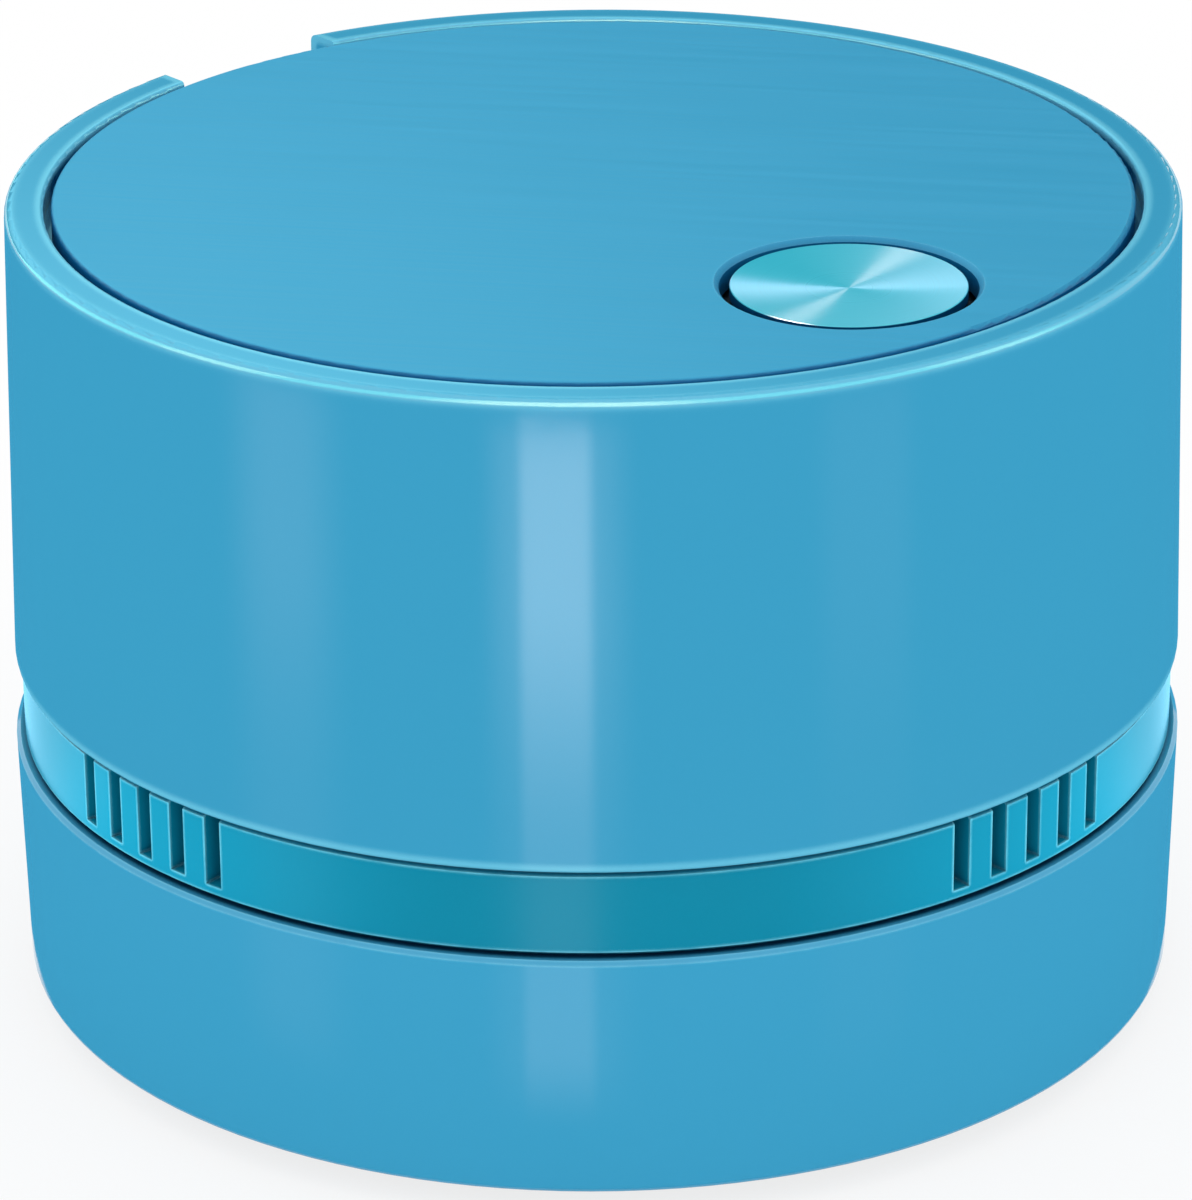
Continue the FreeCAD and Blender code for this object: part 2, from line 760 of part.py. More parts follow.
def make_contacts():
    """Sheet contacts at the trough ends, two of them carrying coil springs."""
    offset = size.cell_offset
    outer = trough_half_length
    low = size.trough_bottom + 3.4
    high = tray_deck_bottom - 0.5
    bridge_top = size.tray_top + size.contact_thickness
    bridge_half = 3.5
    strip_overhang = 1.8
    plates = []
    for name, side in (("bridge_left", -1), ("bridge_right", 1)):
        middle = offset * side
        plates.append(block(
            name, middle - bridge_half, middle + bridge_half, contact_face, outer, low, bridge_top))
    strip = block(
        "bridge_strip", -offset - bridge_half, offset + bridge_half,
        contact_face, outer + strip_overhang, size.tray_top, bridge_top)
    keep(fuse("contact_bridge", *plates, strip))

    for label, side in (("contact_negative", -1), ("contact_positive", 1)):
        middle = offset * side
        plate = block(f"{label}_plate", middle - 4.5, middle + 4.5, -outer, -contact_face, low, high)
        tab = block(f"{label}_tab", middle - 1.3, middle + 1.3, -outer, -contact_face, tab_low, low)
        keep(fuse(label, plate, tab))

    spring_length = size.compartment_length - size.contact_thickness * 2 - size.cell_length
    wire = 0.28
    end_gap = 0.3
    springs = []
    for name, side in (("spring_left", -1), ("spring_right", 1)):
        spring = coil(name, 4.0, wire, spring_length - end_gap * 2, 3.5, taper=-15)
        turned = FreeCAD.Rotation(Vector(1, 0, 0), 90 * side)
        wound_end = (contact_face - end_gap) * side
        place(spring, x=offset * side, y=wound_end, z=size.cell_level, rotation=turned)
        springs.append(spring)
    group("contact_springs", *springs)


# ------------------------------------------------------------------------ motor

def motor_outline(name, radius, half_flat, z_low, z_high):
    """The motor's plan: a round with two flats, as a solid between two levels."""
    round_part = rod(f"{name}_round", radius, z_low, z_high)
    flats = block(f"{name}_flats", -half_flat, half_flat, -radius - 1, radius + 1, z_low, z_high)
    return common(name, round_part, flats)


def make_motor():
    """Small brushed motor standing on the fan deck with its shaft down."""
    sheet_metal = size.can_thickness
    radius = size.motor_radius
    half_flat = size.motor_half_flat
    bush_radius = 2.0
    boss_low = deck_top - 1.4
    boss_high = deck_top + 2.0
    cap_boss_low = motor_top - 2.5
    cap_boss_high = motor_top + 0.6
    above = motor_top + 1

    outside = motor_outline("can_outside", radius, half_flat, deck_top, can_top)
    inside = motor_outline(
        "can_inside", radius - sheet_metal, half_flat - sheet_metal, deck_top + sheet_metal, can_top + 1)
    boss = rod("can_boss", bush_radius + 1.05, boss_low, boss_high)
    bush_hole = rod("can_bush_hole", bush_radius, boss_low - 1, boss_high + 1)
    keep(cut("motor_can", fuse("can_with_boss", cut("can_shell", outside, inside), boss), bush_hole))

    cap = motor_outline("cap_outside", radius, half_flat, can_top, motor_top)
    cap_room = motor_outline("cap_room", radius - 1.3, half_flat - 1.3, can_top - 1, motor_top - 1.5)
    cap_boss = rod("cap_boss", bush_radius + 1, cap_boss_low, cap_boss_high)
    cap_bore = rod("cap_bore", bush_radius, can_top - 1, above)
    slots = []
    for side in (-1, 1):
        middle = TERMINAL_Y * side
        slots.append(block(f"cap_slot_{side}", -1.1, 1.1, middle - 0.25, middle + 0.25, can_top - 1, above))
    openings = fuse("cap_openings", cap_bore, *slots)
    keep(cut("motor_end_cap", fuse("cap_with_boss", cut("cap_shell", cap, cap_room), cap_boss), openings))

    bushes = []
    spans = {"lower_bush": (boss_low, boss_high), "upper_bush": (cap_boss_low, cap_boss_high)}
    for name, (low, high) in spans.items():
        sleeve = rod(f"{name}_sleeve", bush_radius, low, high)
        bore = rod(f"{name}_bore", size.shaft_radius + size.bearing_clearance, low - 1, high + 1)
        bushes.append(cut(name, sleeve, bore))
    group("motor_bushes", *bushes)

    magnet_low = deck_top + 3.5
    magnet_high = magnet_low + 14
    ring = cut(
        "magnet_ring",
        rod("magnet_outside", radius - sheet_metal, magnet_low, magnet_high),
        rod("magnet_inside", 6.9, magnet_low - 1, magnet_high + 1))
    half_arc = 5.5
    magnets = []
    for name, low_y, high_y in (("front_magnet", -radius, -2), ("rear_magnet", 2, radius)):
        window = block(f"{name}_window", -half_arc, half_arc, low_y, high_y, magnet_low, magnet_high)
        magnets.append(common(name, ring, window))
    group("motor_magnets", *magnets)

    terminals = []
    brushes = []
    brush_y = 2.85
    for side in (-1, 1):
        tab = TERMINAL_Y * side
        terminals.append(block(
            f"terminal_{side}", -1.0, 1.0, tab - 0.2, tab + 0.2, can_top + 0.6, motor_top + 1.3))
        finger = brush_y * side
        brushes.append(block(
            f"brush_{side}", -1.2, 1.2, finger - 0.15, finger + 0.15, can_top - 3.2, cap_boss_low - 0.1))
    group("motor_terminals", *terminals)
    group("motor_brushes", *brushes)

    damper = cut(
        "motor_damper",
        rod("damper_disc", 3.1, motor_top + 0.65, tray_deck_bottom),
        rod("damper_hole", 1.4, motor_top, tray_deck_bottom + 1))
    keep(damper)


def make_rotor():
    """Shaft with laminated core, windings, commutator and the fan wheel."""
    shaft = size.shaft_radius
    keep(rod("motor_shaft", shaft, size.fan_bottom - 0.2, motor_top + 0.4))

    core_low = deck_top + 5.5
    core_high = core_low + 9
    core = new_body("armature_core")
    pad(core, core_low, core_high, circle(0, 0, 6.5), circle(0, 0, shaft))
    slot = pocket(core, core_low - 0.1, core_high + 0.1, rectangle(3.0, 7.5, -0.9, 0.9))
    ring_of(core, [slot], 3)

    bulge = 2.6
    windings = []
    spans = {"lower_turns": (core_low - bulge, core_low), "upper_turns": (core_high, core_high + bulge)}
    for name, (low, high) in spans.items():
        turns = rod(f"{name}_bulge", 5.7, low, high)
        hole = rod(f"{name}_hole", 1.5, low - 1, high + 1)
        windings.append(cut(name, turns, hole))
    group("armature_windings", *windings)

    contact_low = can_top - 3.6
    contact_high = can_top + 0.6
    keep(cut(
        "commutator",
        rod("commutator_barrel", 2.4, contact_low, contact_high),
        rod("commutator_hole", shaft, contact_low - 1, contact_high + 1)))

    wheel = new_body("impeller")
    hub_radius = 4.0
    plate_top = size.fan_plate_bottom + 0.9
    revolve(wheel, [
        (shaft, size.fan_bottom),
        (hub_radius, size.fan_bottom),
        (hub_radius, size.fan_plate_bottom),
        (size.fan_radius, size.fan_plate_bottom + 0.2),
        (size.fan_radius, plate_top),
        (shaft, plate_top),
    ])
    # Blades stand off the radial line, so that they lean backwards.
    blade_plan = rectangle(7.0, size.fan_radius - 1.2, 6.0, 7.0)
    blade = pad(wheel, size.fan_bottom, size.fan_plate_bottom + 0.3, blade_plan)
    ring_of(wheel, [blade], FAN_BLADES)


def make_capacitor():
    """Noise-damping disc capacitor soldered across the motor's terminals."""
    disc_radius = 3.2
    disc_thickness = 2.2
    disc_y = 12.7
    level = motor_top.value - 5.5
    lead_top = solder_level.value
    pill = Part.makeCylinder(
        disc_radius, disc_thickness, Vector(0, disc_y - disc_thickness / 2, level), Vector(0, 1, 0))
    near = [
        Vector(0, disc_y, level + 1), Vector(0, disc_y, lead_top), Vector(0, TERMINAL_Y + 0.3, lead_top)]
    # The far leg goes round the damper to the other terminal.
    far = [
        Vector(2.0, disc_y, level + 1), Vector(2.0, disc_y, lead_top), Vector(3.8, 6.0, lead_top),
        Vector(3.8, -6.3, lead_top), Vector(1.05, -TERMINAL_Y, lead_top)]
    legs = [tube_along(points, 0.25, bend=1.0) for points in (near, far)]
    keep(made_shape("noise_capacitor", pill.fuse(legs)))


def make_leads():
    """Three insulated wires between cells, switch and motor."""
    radius = size.lead_radius.value
    cell_x = size.cell_offset.value
    tab_y = -(trough_half_length.value - size.contact_thickness.value / 2)
    tab_end = tab_low.value
    pin_x = SWITCH_PIN_X
    pin_y = -size.button_offset.value
    pin_end = pin_low.value
    solder = solder_level.value
    routes = {
        "lead_cell_to_switch": [
            Vector(cell_x, tab_y, tab_end), Vector(cell_x, tab_y, 34.5),
            Vector(pin_x, pin_y, 33.5), Vector(pin_x, pin_y, pin_end)],
        "lead_switch_to_motor": [
            Vector(-pin_x, pin_y, pin_end), Vector(-pin_x, pin_y, 33.0), Vector(-pin_x, -13.2, 33.0),
            Vector(-pin_x, -13.2, solder), Vector(-pin_x, -7.3, solder), Vector(-0.9, -7.3, solder)],
        "lead_cell_to_motor": [
            Vector(-cell_x, tab_y, tab_end), Vector(-cell_x, tab_y, 34.0), Vector(-8.8, -12.0, 35.0),
            Vector(-8.8, 7.5, 37.0), Vector(-8.8, 7.5, solder), Vector(-1.0, 7.5, solder)],
    }
    for label, points in routes.items():
        keep(made_shape(label, tube_along(points, radius, bend=3.2)))


# --------------------------------------------------- fan deck, vent ring, guard

def make_fan_deck():
    """Shallow tub that hangs in the vent ring's collar and carries the motor."""
    body = new_body("fan_deck")
    boss_hole = 3.3
    wall = 1.1
    flange_top = size.spigot_top + 1.2
    edge = size.fan_space_radius - 0.1
    revolve(body, [
        (boss_hole, size.deck_bottom),
        (edge, size.deck_bottom),
        (edge, size.spigot_top),
        (size.spigot_radius, size.spigot_top),
        (size.spigot_radius, flange_top),
        (edge - wall, flange_top),
        (edge - wall, deck_top),
        (boss_hole, deck_top),
    ])
    # A low wall round the motor's foot.
    inner_x = size.motor_half_flat + 0.05
    inner_y = size.motor_radius + 0.05
    pad(
        body, deck_top, deck_top + 4,
        rectangle(-inner_x - wall, inner_x + wall, -inner_y - wall, inner_y + wall),
        rectangle(-inner_x, inner_x, -inner_y, inner_y))
    case_screw_holes(body, size.deck_bottom, deck_top)


def make_vent_ring():
    """Visible band with the outlet slots, a collar above and a threaded skirt below."""
    body = new_body("vent_ring")
    lip = size.skirt_inner_radius - 0.8
    lip_top = size.skirt_bottom + 0.5
    ledge = size.skirt_inner_radius - 1.5
    ledge_low = size.guard_bottom - 1.2
    band = revolve(body, [
        (size.ring_radius, size.ring_bottom),
        (size.ring_radius, size.ring_top),
        (size.spigot_radius, size.ring_top),
        (size.spigot_radius, size.spigot_top),
        (size.fan_space_radius, size.spigot_top),
        (size.fan_space_radius, size.slot_floor),
        (size.skirt_inner_radius, size.slot_floor),
        (size.skirt_inner_radius, size.guard_bottom),
        (ledge, size.guard_bottom),
        (ledge, ledge_low),
        (size.skirt_inner_radius, ledge_low),
        (size.skirt_inner_radius, lip_top),
        (lip, lip_top),
        (lip, size.skirt_bottom),
        (size.skirt_radius, size.skirt_bottom),
        (size.skirt_radius, size.ring_bottom),
    ])
    edges = []
    for level in (size.ring_bottom, size.ring_top):
        edges += round_edges(band, level, size.ring_radius)
    finish_edges(body, "Chamfer", edges, 0.25)
    half_slot = size.slot_width / 2
    slot_plan = rectangle(size.fan_space_radius - 0.5, size.ring_radius + 1, -half_slot, half_slot)
    for middle in SLOT_GROUPS:
        first = middle - size.slot_pitch.value * (SLOTS_IN_GROUP - 1) / 2
        slot = pocket(body, size.slot_floor, size.ring_top, slot_plan, turn=first)
        ring_of(body, [slot], SLOTS_IN_GROUP, size.slot_pitch * (SLOTS_IN_GROUP - 1))
    # Pillars that the long case screws pass through, each on a web to the wall.
    reach = size.case_screw_reach
    turn = CASE_SCREW_ANGLES[0]
    web = rectangle(reach, size.fan_space_radius + 0.4, -0.7, 0.7)
    features = [
        pad(body, size.slot_floor, size.deck_bottom, web, turn=turn),
        pad(body, guard_top + 0.05, size.deck_bottom, circle(reach, 0, 2.8), turn=turn),
        pocket(body, guard_top, size.deck_bottom, circle(reach, 0, size.screw_hole_radius), turn=turn)]
    ring_of(body, features, len(CASE_SCREW_ANGLES))
    # Three lugs of the quick thread.
    root = size.skirt_radius - 0.4
    crest = size.cup_inner_radius - 0.5
    lug_top = size.lug_bottom + size.lug_height
    lug = helical_ridge(body, [
        (root, size.lug_bottom),
        (crest, size.lug_bottom),
        (crest, lug_top),
        (root, lug_top),
    ], LUG_START, LUG_SWEEP)
    ring_of(body, [lug], THREAD_STARTS)


def make_guard_plate():
    """Plate between filter and fan, with a finger guard across its air opening."""
    body = new_body("guard_plate")
    low = size.guard_bottom
    pad(body, low, guard_top, circle(0, 0, size.skirt_inner_radius - 0.1), circle(0, 0, size.eye_radius))
    half_bar = 0.6
    small_ring = 3.2
    large_ring = 8.4
    for radius in (small_ring, large_ring):
        pad(body, low, guard_top, circle(0, 0, radius + half_bar), circle(0, 0, radius - half_bar))
    bar_plan = rectangle(small_ring + 0.2, size.eye_radius + 0.2, -half_bar, half_bar)
    bar = pad(body, low, guard_top, bar_plan)
    ring_of(body, [bar], 5)
    case_screw_holes(body, low, guard_top)


def make_seal_ring():
    """Rubber ring on the skirt's shoulder, against the cup's mouth."""
    body = new_body("seal_ring")
    outer = size.cup_inner_radius - 0.35
    edge = 0.3
    low = size.ring_bottom - 1.1
    revolve(body, [
        (size.skirt_radius, low),
        (outer - edge, low),
        (outer, low + edge),
        (outer, size.ring_bottom - edge),
        (outer - edge, size.ring_bottom),
        (size.skirt_radius, size.ring_bottom),
    ])


# ----------------------------------------------------------------------- filter

def make_filter():
    """Snap-in frame with a mesh disc, its forked legs astride the chimney's fins."""
    frame = new_body("filter_frame")
    outer = size.filter_radius
    inner = outer - 1.6
    rim_top = size.mesh_level + size.mesh_thickness + 0.3
    spoke_low = size.mesh_level - 1.3
    hub_inner = 13.0
    hub_outer = 15.0
    revolve(frame, [
        (inner, size.filter_bottom),
        (outer, size.filter_bottom),
        (outer, rim_top),
        (inner, rim_top),
    ])
    pad(frame, spoke_low, size.mesh_level, circle(0, 0, hub_outer), circle(0, 0, hub_inner))
    spoke = pad(frame, spoke_low, size.mesh_level, rectangle(hub_outer - 0.5, inner + 0.2, -0.7, 0.7))
    ring_of(frame, [spoke], 6)
    leg_width = 1.4
    legs = []
    for side in (-1, 1):
        near, far = sorted((FORK_HALF_GAP * side, (FORK_HALF_GAP + leg_width) * side))
        leg = rectangle(hub_inner + 0.1, hub_outer - 0.2, near, far)
        legs.append(pad(frame, LEG_BOTTOM, spoke_low + 0.1, leg))
    ring_of(frame, legs, FIN_COUNT)

    mesh = new_body("filter_mesh")
    pad(mesh, size.mesh_level, size.mesh_level + size.mesh_thickness, circle(0, 0, inner - 0.02))


# ------------------------------------------------------------ dust cup and base

def make_dust_cup():
    """Cup with the inlet chimney, screw bosses and the three thread ramps."""
    body = new_body("dust_cup")
    shell = revolve(body, [
        (size.cup_base_radius, size.cup_bottom),
        (size.cup_top_radius, size.cup_top),
        (size.cup_inner_radius, size.cup_top),
        (size.cup_inner_radius, size.cup_floor_top),
        (size.chimney_radius, size.cup_floor_top),
        (size.chimney_radius, size.chimney_top),
        (size.inlet_radius, size.chimney_top),
        (size.inlet_radius, size.cup_floor_bottom),
        (size.cup_inner_radius, size.cup_floor_bottom),
        (size.cup_inner_radius, size.cup_bottom),
    ])
    finish_edges(body, "Chamfer", round_edges(shell, size.cup_top, size.cup_top_radius), 0.3)
    rounded = body.Tip
    finish_edges(body, "Fillet", round_edges(rounded, size.cup_bottom, size.cup_base_radius), 0.5)
    rounded = body.Tip
    finish_edges(body, "Fillet", round_edges(rounded, size.cup_floor_top, size.cup_inner_radius), 1.5)
    rounded = body.Tip
    finish_edges(body, "Fillet", round_edges(rounded, size.cup_floor_top, size.chimney_radius), 1.0)
    rounded = body.Tip
    mouth = round_edges(rounded, size.chimney_top, size.chimney_radius)
    finish_edges(body, "Fillet", mouth + round_edges(rounded, size.chimney_top, size.inlet_radius), 0.6)
    fin = pad(
        body, size.cup_floor_top - 0.2, size.chimney_top - 0.8,
        rectangle(size.chimney_radius - 0.6, 14.4, -FIN_HALF_WIDTH, FIN_HALF_WIDTH))
    ring_of(body, [fin], FIN_COUNT)
    boss_height = 4.3
    for turn in BASE_SCREW_ANGLES:
        boss = circle(size.base_screw_reach, 0, 2.9)
        pad(body, size.cup_floor_top - 0.2, size.cup_floor_top + boss_height, boss, turn=turn)
        pilot = circle(size.base_screw_reach, 0, size.pilot_radius)
        pocket(body, size.cup_floor_bottom, size.cup_floor_top + boss_height - 0.8, pilot, turn=turn)
    ramp_low = size.lug_bottom + size.lug_height + size.ramp_gap
    # The ramp starts as far before the lug as the thread's slope lowers it.
    start_drop = size.thread_lead * ((LUG_START - RAMP_START) / 360)
    start_low = ramp_low - start_drop
    start_high = start_low + 1.2
    crest = size.skirt_radius + 0.45
    root = size.cup_inner_radius + 0.5
    ramp = helical_ridge(body, [
        (crest, start_low),
        (root, start_low),
        (root, start_high),
        (crest, start_high),
    ], RAMP_START, RAMP_SWEEP)
    ring_of(body, [ramp], THREAD_STARTS)


def make_base():
    """Brush plate screwed under the cup's floor, with its two rings of bristles."""
    plate = new_body("base_plate")
    top = size.cup_floor_bottom
    low = size.base_plate_bottom
    plate_radius = size.cup_inner_radius - 0.15
    disc = pad(plate, low, top, circle(0, 0, plate_radius), circle(0, 0, size.inlet_radius))
    finish_edges(plate, "Chamfer", round_edges(disc, low, size.inlet_radius), 0.8)
    hole = circle(size.base_screw_reach, 0, size.screw_hole_radius)
    first = pocket(plate, low, top, hole, turn=BASE_SCREW_ANGLES[0])
    ring_of(plate, [first], len(BASE_SCREW_ANGLES))

    for label, inner, outer, span in (("inner_brush", 15.0, 17.4, 42), ("outer_brush", 33.4, 36.0, 46)):
        brush = new_body(label)
        row = revolve(brush, [(inner, 0), (outer, 0), (outer, low), (inner, low)], angle=span)
        ring_of(brush, [row], BRUSH_ROWS)


def make_screws():
    low = size.guard_bottom
    screws(
        "case_screws", size.case_screw_reach, CASE_SCREW_ANGLES,
        head=(low - 1.5, low), shank=(low - 0.1, size.trough_bottom - 3), recess=(low - 1.6, low - 0.6))
    deck = size.tray_top
    screws(
        "tray_screws", size.tray_screw_reach, TRAY_SCREW_ANGLES,
        head=(deck, deck + 1.2), shank=(tray_deck_bottom - 9, deck + 0.1), recess=(deck + 0.4, deck + 1.3))
    plate = size.base_plate_bottom
    screws(
        "base_screws", size.base_screw_reach, BASE_SCREW_ANGLES,
        head=(plate - 1.0, plate), shank=(plate - 0.1, size.cup_floor_top + 3),
        recess=(plate - 1.1, plate - 0.3))


make_upper_housing()
make_lid()
make_lid_pads()
make_button()
make_battery_tray()
make_cell("battery_cell_left", -1)
make_cell("battery_cell_right", 1)
make_contacts()
make_motor()
make_rotor()
make_capacitor()
make_leads()
make_fan_deck()
make_vent_ring()
make_guard_plate()
make_seal_ring()
make_filter()
make_dust_cup()
make_base()
make_screws()
doc.recompute()

for item in doc.Objects:
    if "Invalid" in item.State or "Error" in item.State:
        raise RuntimeError(f"{item.Label} failed: {item.State}")
for item in sub_parts:
    if item.Shape.isNull() or not item.Shape.isValid() or not item.Shape.Solids:
        raise RuntimeError(f"{item.Label} has no valid solid")

os.makedirs("parts", exist_ok=True)
for item in sub_parts:
    item.Shape.exportStep(f"parts/{item.Label}.step")
    print(f"{item.Label:24s} solids {len(item.Shape.Solids):2d}  volume {item.Shape.Volume:10.1f}")
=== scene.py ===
import math
import random

import bmesh
import bpy
from mathutils import Matrix, Vector


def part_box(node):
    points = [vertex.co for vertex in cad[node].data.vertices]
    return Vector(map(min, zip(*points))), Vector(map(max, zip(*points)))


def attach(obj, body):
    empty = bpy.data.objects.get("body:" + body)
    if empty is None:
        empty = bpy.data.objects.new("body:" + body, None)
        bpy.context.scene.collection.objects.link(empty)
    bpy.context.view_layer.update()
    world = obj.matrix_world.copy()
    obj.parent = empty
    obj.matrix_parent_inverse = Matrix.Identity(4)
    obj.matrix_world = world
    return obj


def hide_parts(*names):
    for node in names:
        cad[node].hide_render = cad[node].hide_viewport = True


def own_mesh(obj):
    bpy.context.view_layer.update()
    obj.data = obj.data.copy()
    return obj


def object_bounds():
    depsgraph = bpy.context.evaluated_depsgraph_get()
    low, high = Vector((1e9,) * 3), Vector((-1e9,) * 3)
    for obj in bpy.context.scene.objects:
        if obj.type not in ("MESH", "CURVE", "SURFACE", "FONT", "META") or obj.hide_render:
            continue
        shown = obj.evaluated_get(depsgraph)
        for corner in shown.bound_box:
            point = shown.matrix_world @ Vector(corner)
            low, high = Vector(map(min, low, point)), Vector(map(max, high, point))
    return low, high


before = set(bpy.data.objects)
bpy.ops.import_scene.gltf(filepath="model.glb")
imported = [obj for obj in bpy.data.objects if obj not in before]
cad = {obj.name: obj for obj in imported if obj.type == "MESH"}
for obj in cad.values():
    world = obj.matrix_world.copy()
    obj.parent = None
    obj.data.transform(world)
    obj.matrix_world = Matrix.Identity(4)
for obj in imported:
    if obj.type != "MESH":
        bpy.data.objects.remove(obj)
cad_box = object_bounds()
scene = bpy.context.scene
scene.view_settings.view_transform = "Standard"


# ------------------------------------------------------------ table and daylight
# The vacuum stands on a plain white table in a white tent, lit evenly from all
# round.  The table shows white, and keeps the soft shadow under the cup.

def wire(tree, kind, inputs=None, **settings):
    """One shader node: its sockets take plain values or the outputs of others."""
    made = tree.nodes.new("ShaderNode" + kind)
    for name, value in settings.items():
        setattr(made, name, value)
    for socket, value in (inputs or {}).items():
        if isinstance(value, bpy.types.NodeSocket):
            tree.links.new(value, made.inputs[socket])
        else:
            made.inputs[socket].default_value = value
    return made


def calc(tree, operation, *values):
    """The result of a Math node."""
    return wire(tree, "Math", dict(enumerate(values)), operation=operation).outputs[0]


def ease(tree, value, low, high, start=0.0, end=1.0):
    """A smooth change from start to end while the value goes from low to high."""
    made = wire(tree, "MapRange", {
        "Value": value, "From Min": low, "From Max": high, "To Min": start, "To Max": end,
    }, interpolation_type="SMOOTHSTEP")
    return made.outputs["Result"]


def mix_colour(tree, share, first, second):
    """Two colours mixed, by the socket numbers of a Mix node set to colour."""
    return wire(tree, "Mix", {0: share, 6: first, 7: second}, data_type="RGBA").outputs[2]


def paint(red, green, blue):
    """A colour as a paint chart gives it, 0 to 255, as the linear light it sends back."""
    linear = [((c / 255 + 0.055) / 1.055) ** 2.4 if c > 10 else c / 255 / 12.92 for c in (red, green, blue)]
    return (*linear, 1.0)


def empty_material(name):
    material = bpy.data.materials.new(name)
    material.use_nodes = True
    material.node_tree.nodes.clear()
    return material


def link_object(name, data):
    made = bpy.data.objects.new(name, data)
    scene.collection.objects.link(made)
    return made


def link_mesh(name, bm, material):
    """Makes an object of a finished bmesh."""
    mesh = bpy.data.meshes.new(name)
    bm.to_mesh(mesh)
    bm.free()
    mesh.materials.append(material)
    return link_object(name, mesh)


tent = bpy.data.worlds.new("white_tent")
tent.use_nodes = True
tent.node_tree.nodes["Background"].inputs["Color"].default_value = (1, 1, 1, 1)
scene.world = tent

table_white = empty_material("table_white")
tree = table_white.node_tree
rays = wire(tree, "LightPath").outputs
shown = calc(tree, "MAXIMUM", rays["Is Camera Ray"], rays["Is Glossy Ray"])
shown = calc(tree, "MAXIMUM", shown, rays["Is Transmission Ray"])
cloth = wire(tree, "BsdfDiffuse", {"Color": mix_colour(tree, shown, (0.85, 0.85, 0.85, 1), (1, 1, 1, 1))})
clear_white = wire(tree, "Emission", {"Color": (1, 1, 1, 1), "Strength": 1.0})
white_share = calc(tree, "MULTIPLY", shown, 0.8)
surface = wire(tree, "MixShader", {0: white_share, 1: cloth.outputs[0], 2: clear_white.outputs[0]})
wire(tree, "OutputMaterial", {"Surface": surface.outputs[0]})

bm = bmesh.new()
bmesh.ops.create_circle(bm, cap_ends=True, segments=64, radius=3.0)
link_mesh("table", bm, table_white)


# ------------------------------------------------------------------------ camera
# A long lens stands at the front left and looks down at the vacuum by about 23
# degrees, so that it fills the frame.

camera_place = Vector((-0.2582, -0.2970, 0.19835))
camera_yaw = math.radians(-41.0)
camera_pitch = 0.4084
camera_roll = 0.0076
lens = bpy.data.cameras.new("camera")
lens.sensor_width = 36.0
lens.lens = 175.1
camera = link_object("camera", lens)
camera.matrix_world = (
    Matrix.Translation(camera_place)
    @ Matrix.Rotation(camera_yaw, 4, "Z")
    @ Matrix.Rotation(math.pi / 2 - camera_pitch, 4, "X")
    @ Matrix.Rotation(-camera_roll, 4, "Z")
)
scene.camera = camera


# --------------------------------------------------------------- reflector cards
# Cards round the table show only in gloss.  The one that lies on the table in
# front of the vacuum makes the upright streak on the housing and the cup.

def glowing(name, light_of, clear):
    """A material that glows as light_of works out from the card's own coordinates."""
    material = empty_material(name)
    tree = material.node_tree
    place = wire(tree, "TexCoord").outputs["Object"]
    mirrored_once = calc(tree, "LESS_THAN", wire(tree, "LightPath").outputs["Diffuse Depth"], 0.5)
    surface = wire(tree, "Emission", {"Color": light_of(tree, place), "Strength": mirrored_once}).outputs[0]
    if clear:
        behind = wire(tree, "BsdfTransparent").outputs[0]
        surface = wire(tree, "AddShader", {0: surface, 1: behind}).outputs[0]
    wire(tree, "OutputMaterial", {"Surface": surface})
    return material


def put_up(name, bm, light_of, clear, placing):
    """A card that nothing but gloss sees, so it neither lights the vacuum nor shades it."""
    card = link_mesh(name, bm, glowing(name, light_of, clear))
    card.matrix_world = placing
    card.visible_camera = False
    card.visible_diffuse = False
    card.visible_transmission = False
    card.visible_volume_scatter = False
    card.visible_shadow = False
    return card


def shine_only_on(card, *pieces):
    """Keeps a card's light off every piece but these."""
    seen_by = bpy.data.collections.new(card.name + "_on")
    for piece in pieces:
        seen_by.objects.link(piece)
    card.light_linking.receiver_collection = seen_by


shell_radius = 0.0426
# Streaks on the shell, in degrees round it from the camera: where each one starts,
# is full, begins to fade and ends, and how bright it is.
STREAKS = [
    (-11.5, -7.5, -0.5, 4.5, 1.2),
    (-7.7, -6.4, -1.2, 0.3, 3.0),
    (-39.0, -32.0, -29.5, -23.0, 0.85),
    (20.0, 24.0, 29.0, 33.0, 0.3),
]
card_blue = (0.05, 0.35, 0.58)


def scaled(tree, light, level):
    """Light or a colour times a number."""
    return wire(tree, "VectorMath", {0: light, "Scale": level}, operation="SCALE").outputs[0]


def length(tree, vector):
    return wire(tree, "VectorMath", {0: vector}, operation="LENGTH").outputs["Value"]


def bearing_and_reach(tree, place):
    """Where a point of the table stands: degrees from the camera's side, and metres from the axis."""
    axes = wire(tree, "SeparateXYZ", {0: place}).outputs
    bearing = calc(tree, "ARCTAN2", axes["X"], calc(tree, "MULTIPLY", axes["Y"], -1.0))
    return calc(tree, "MULTIPLY", bearing, math.degrees(1)), length(tree, place)


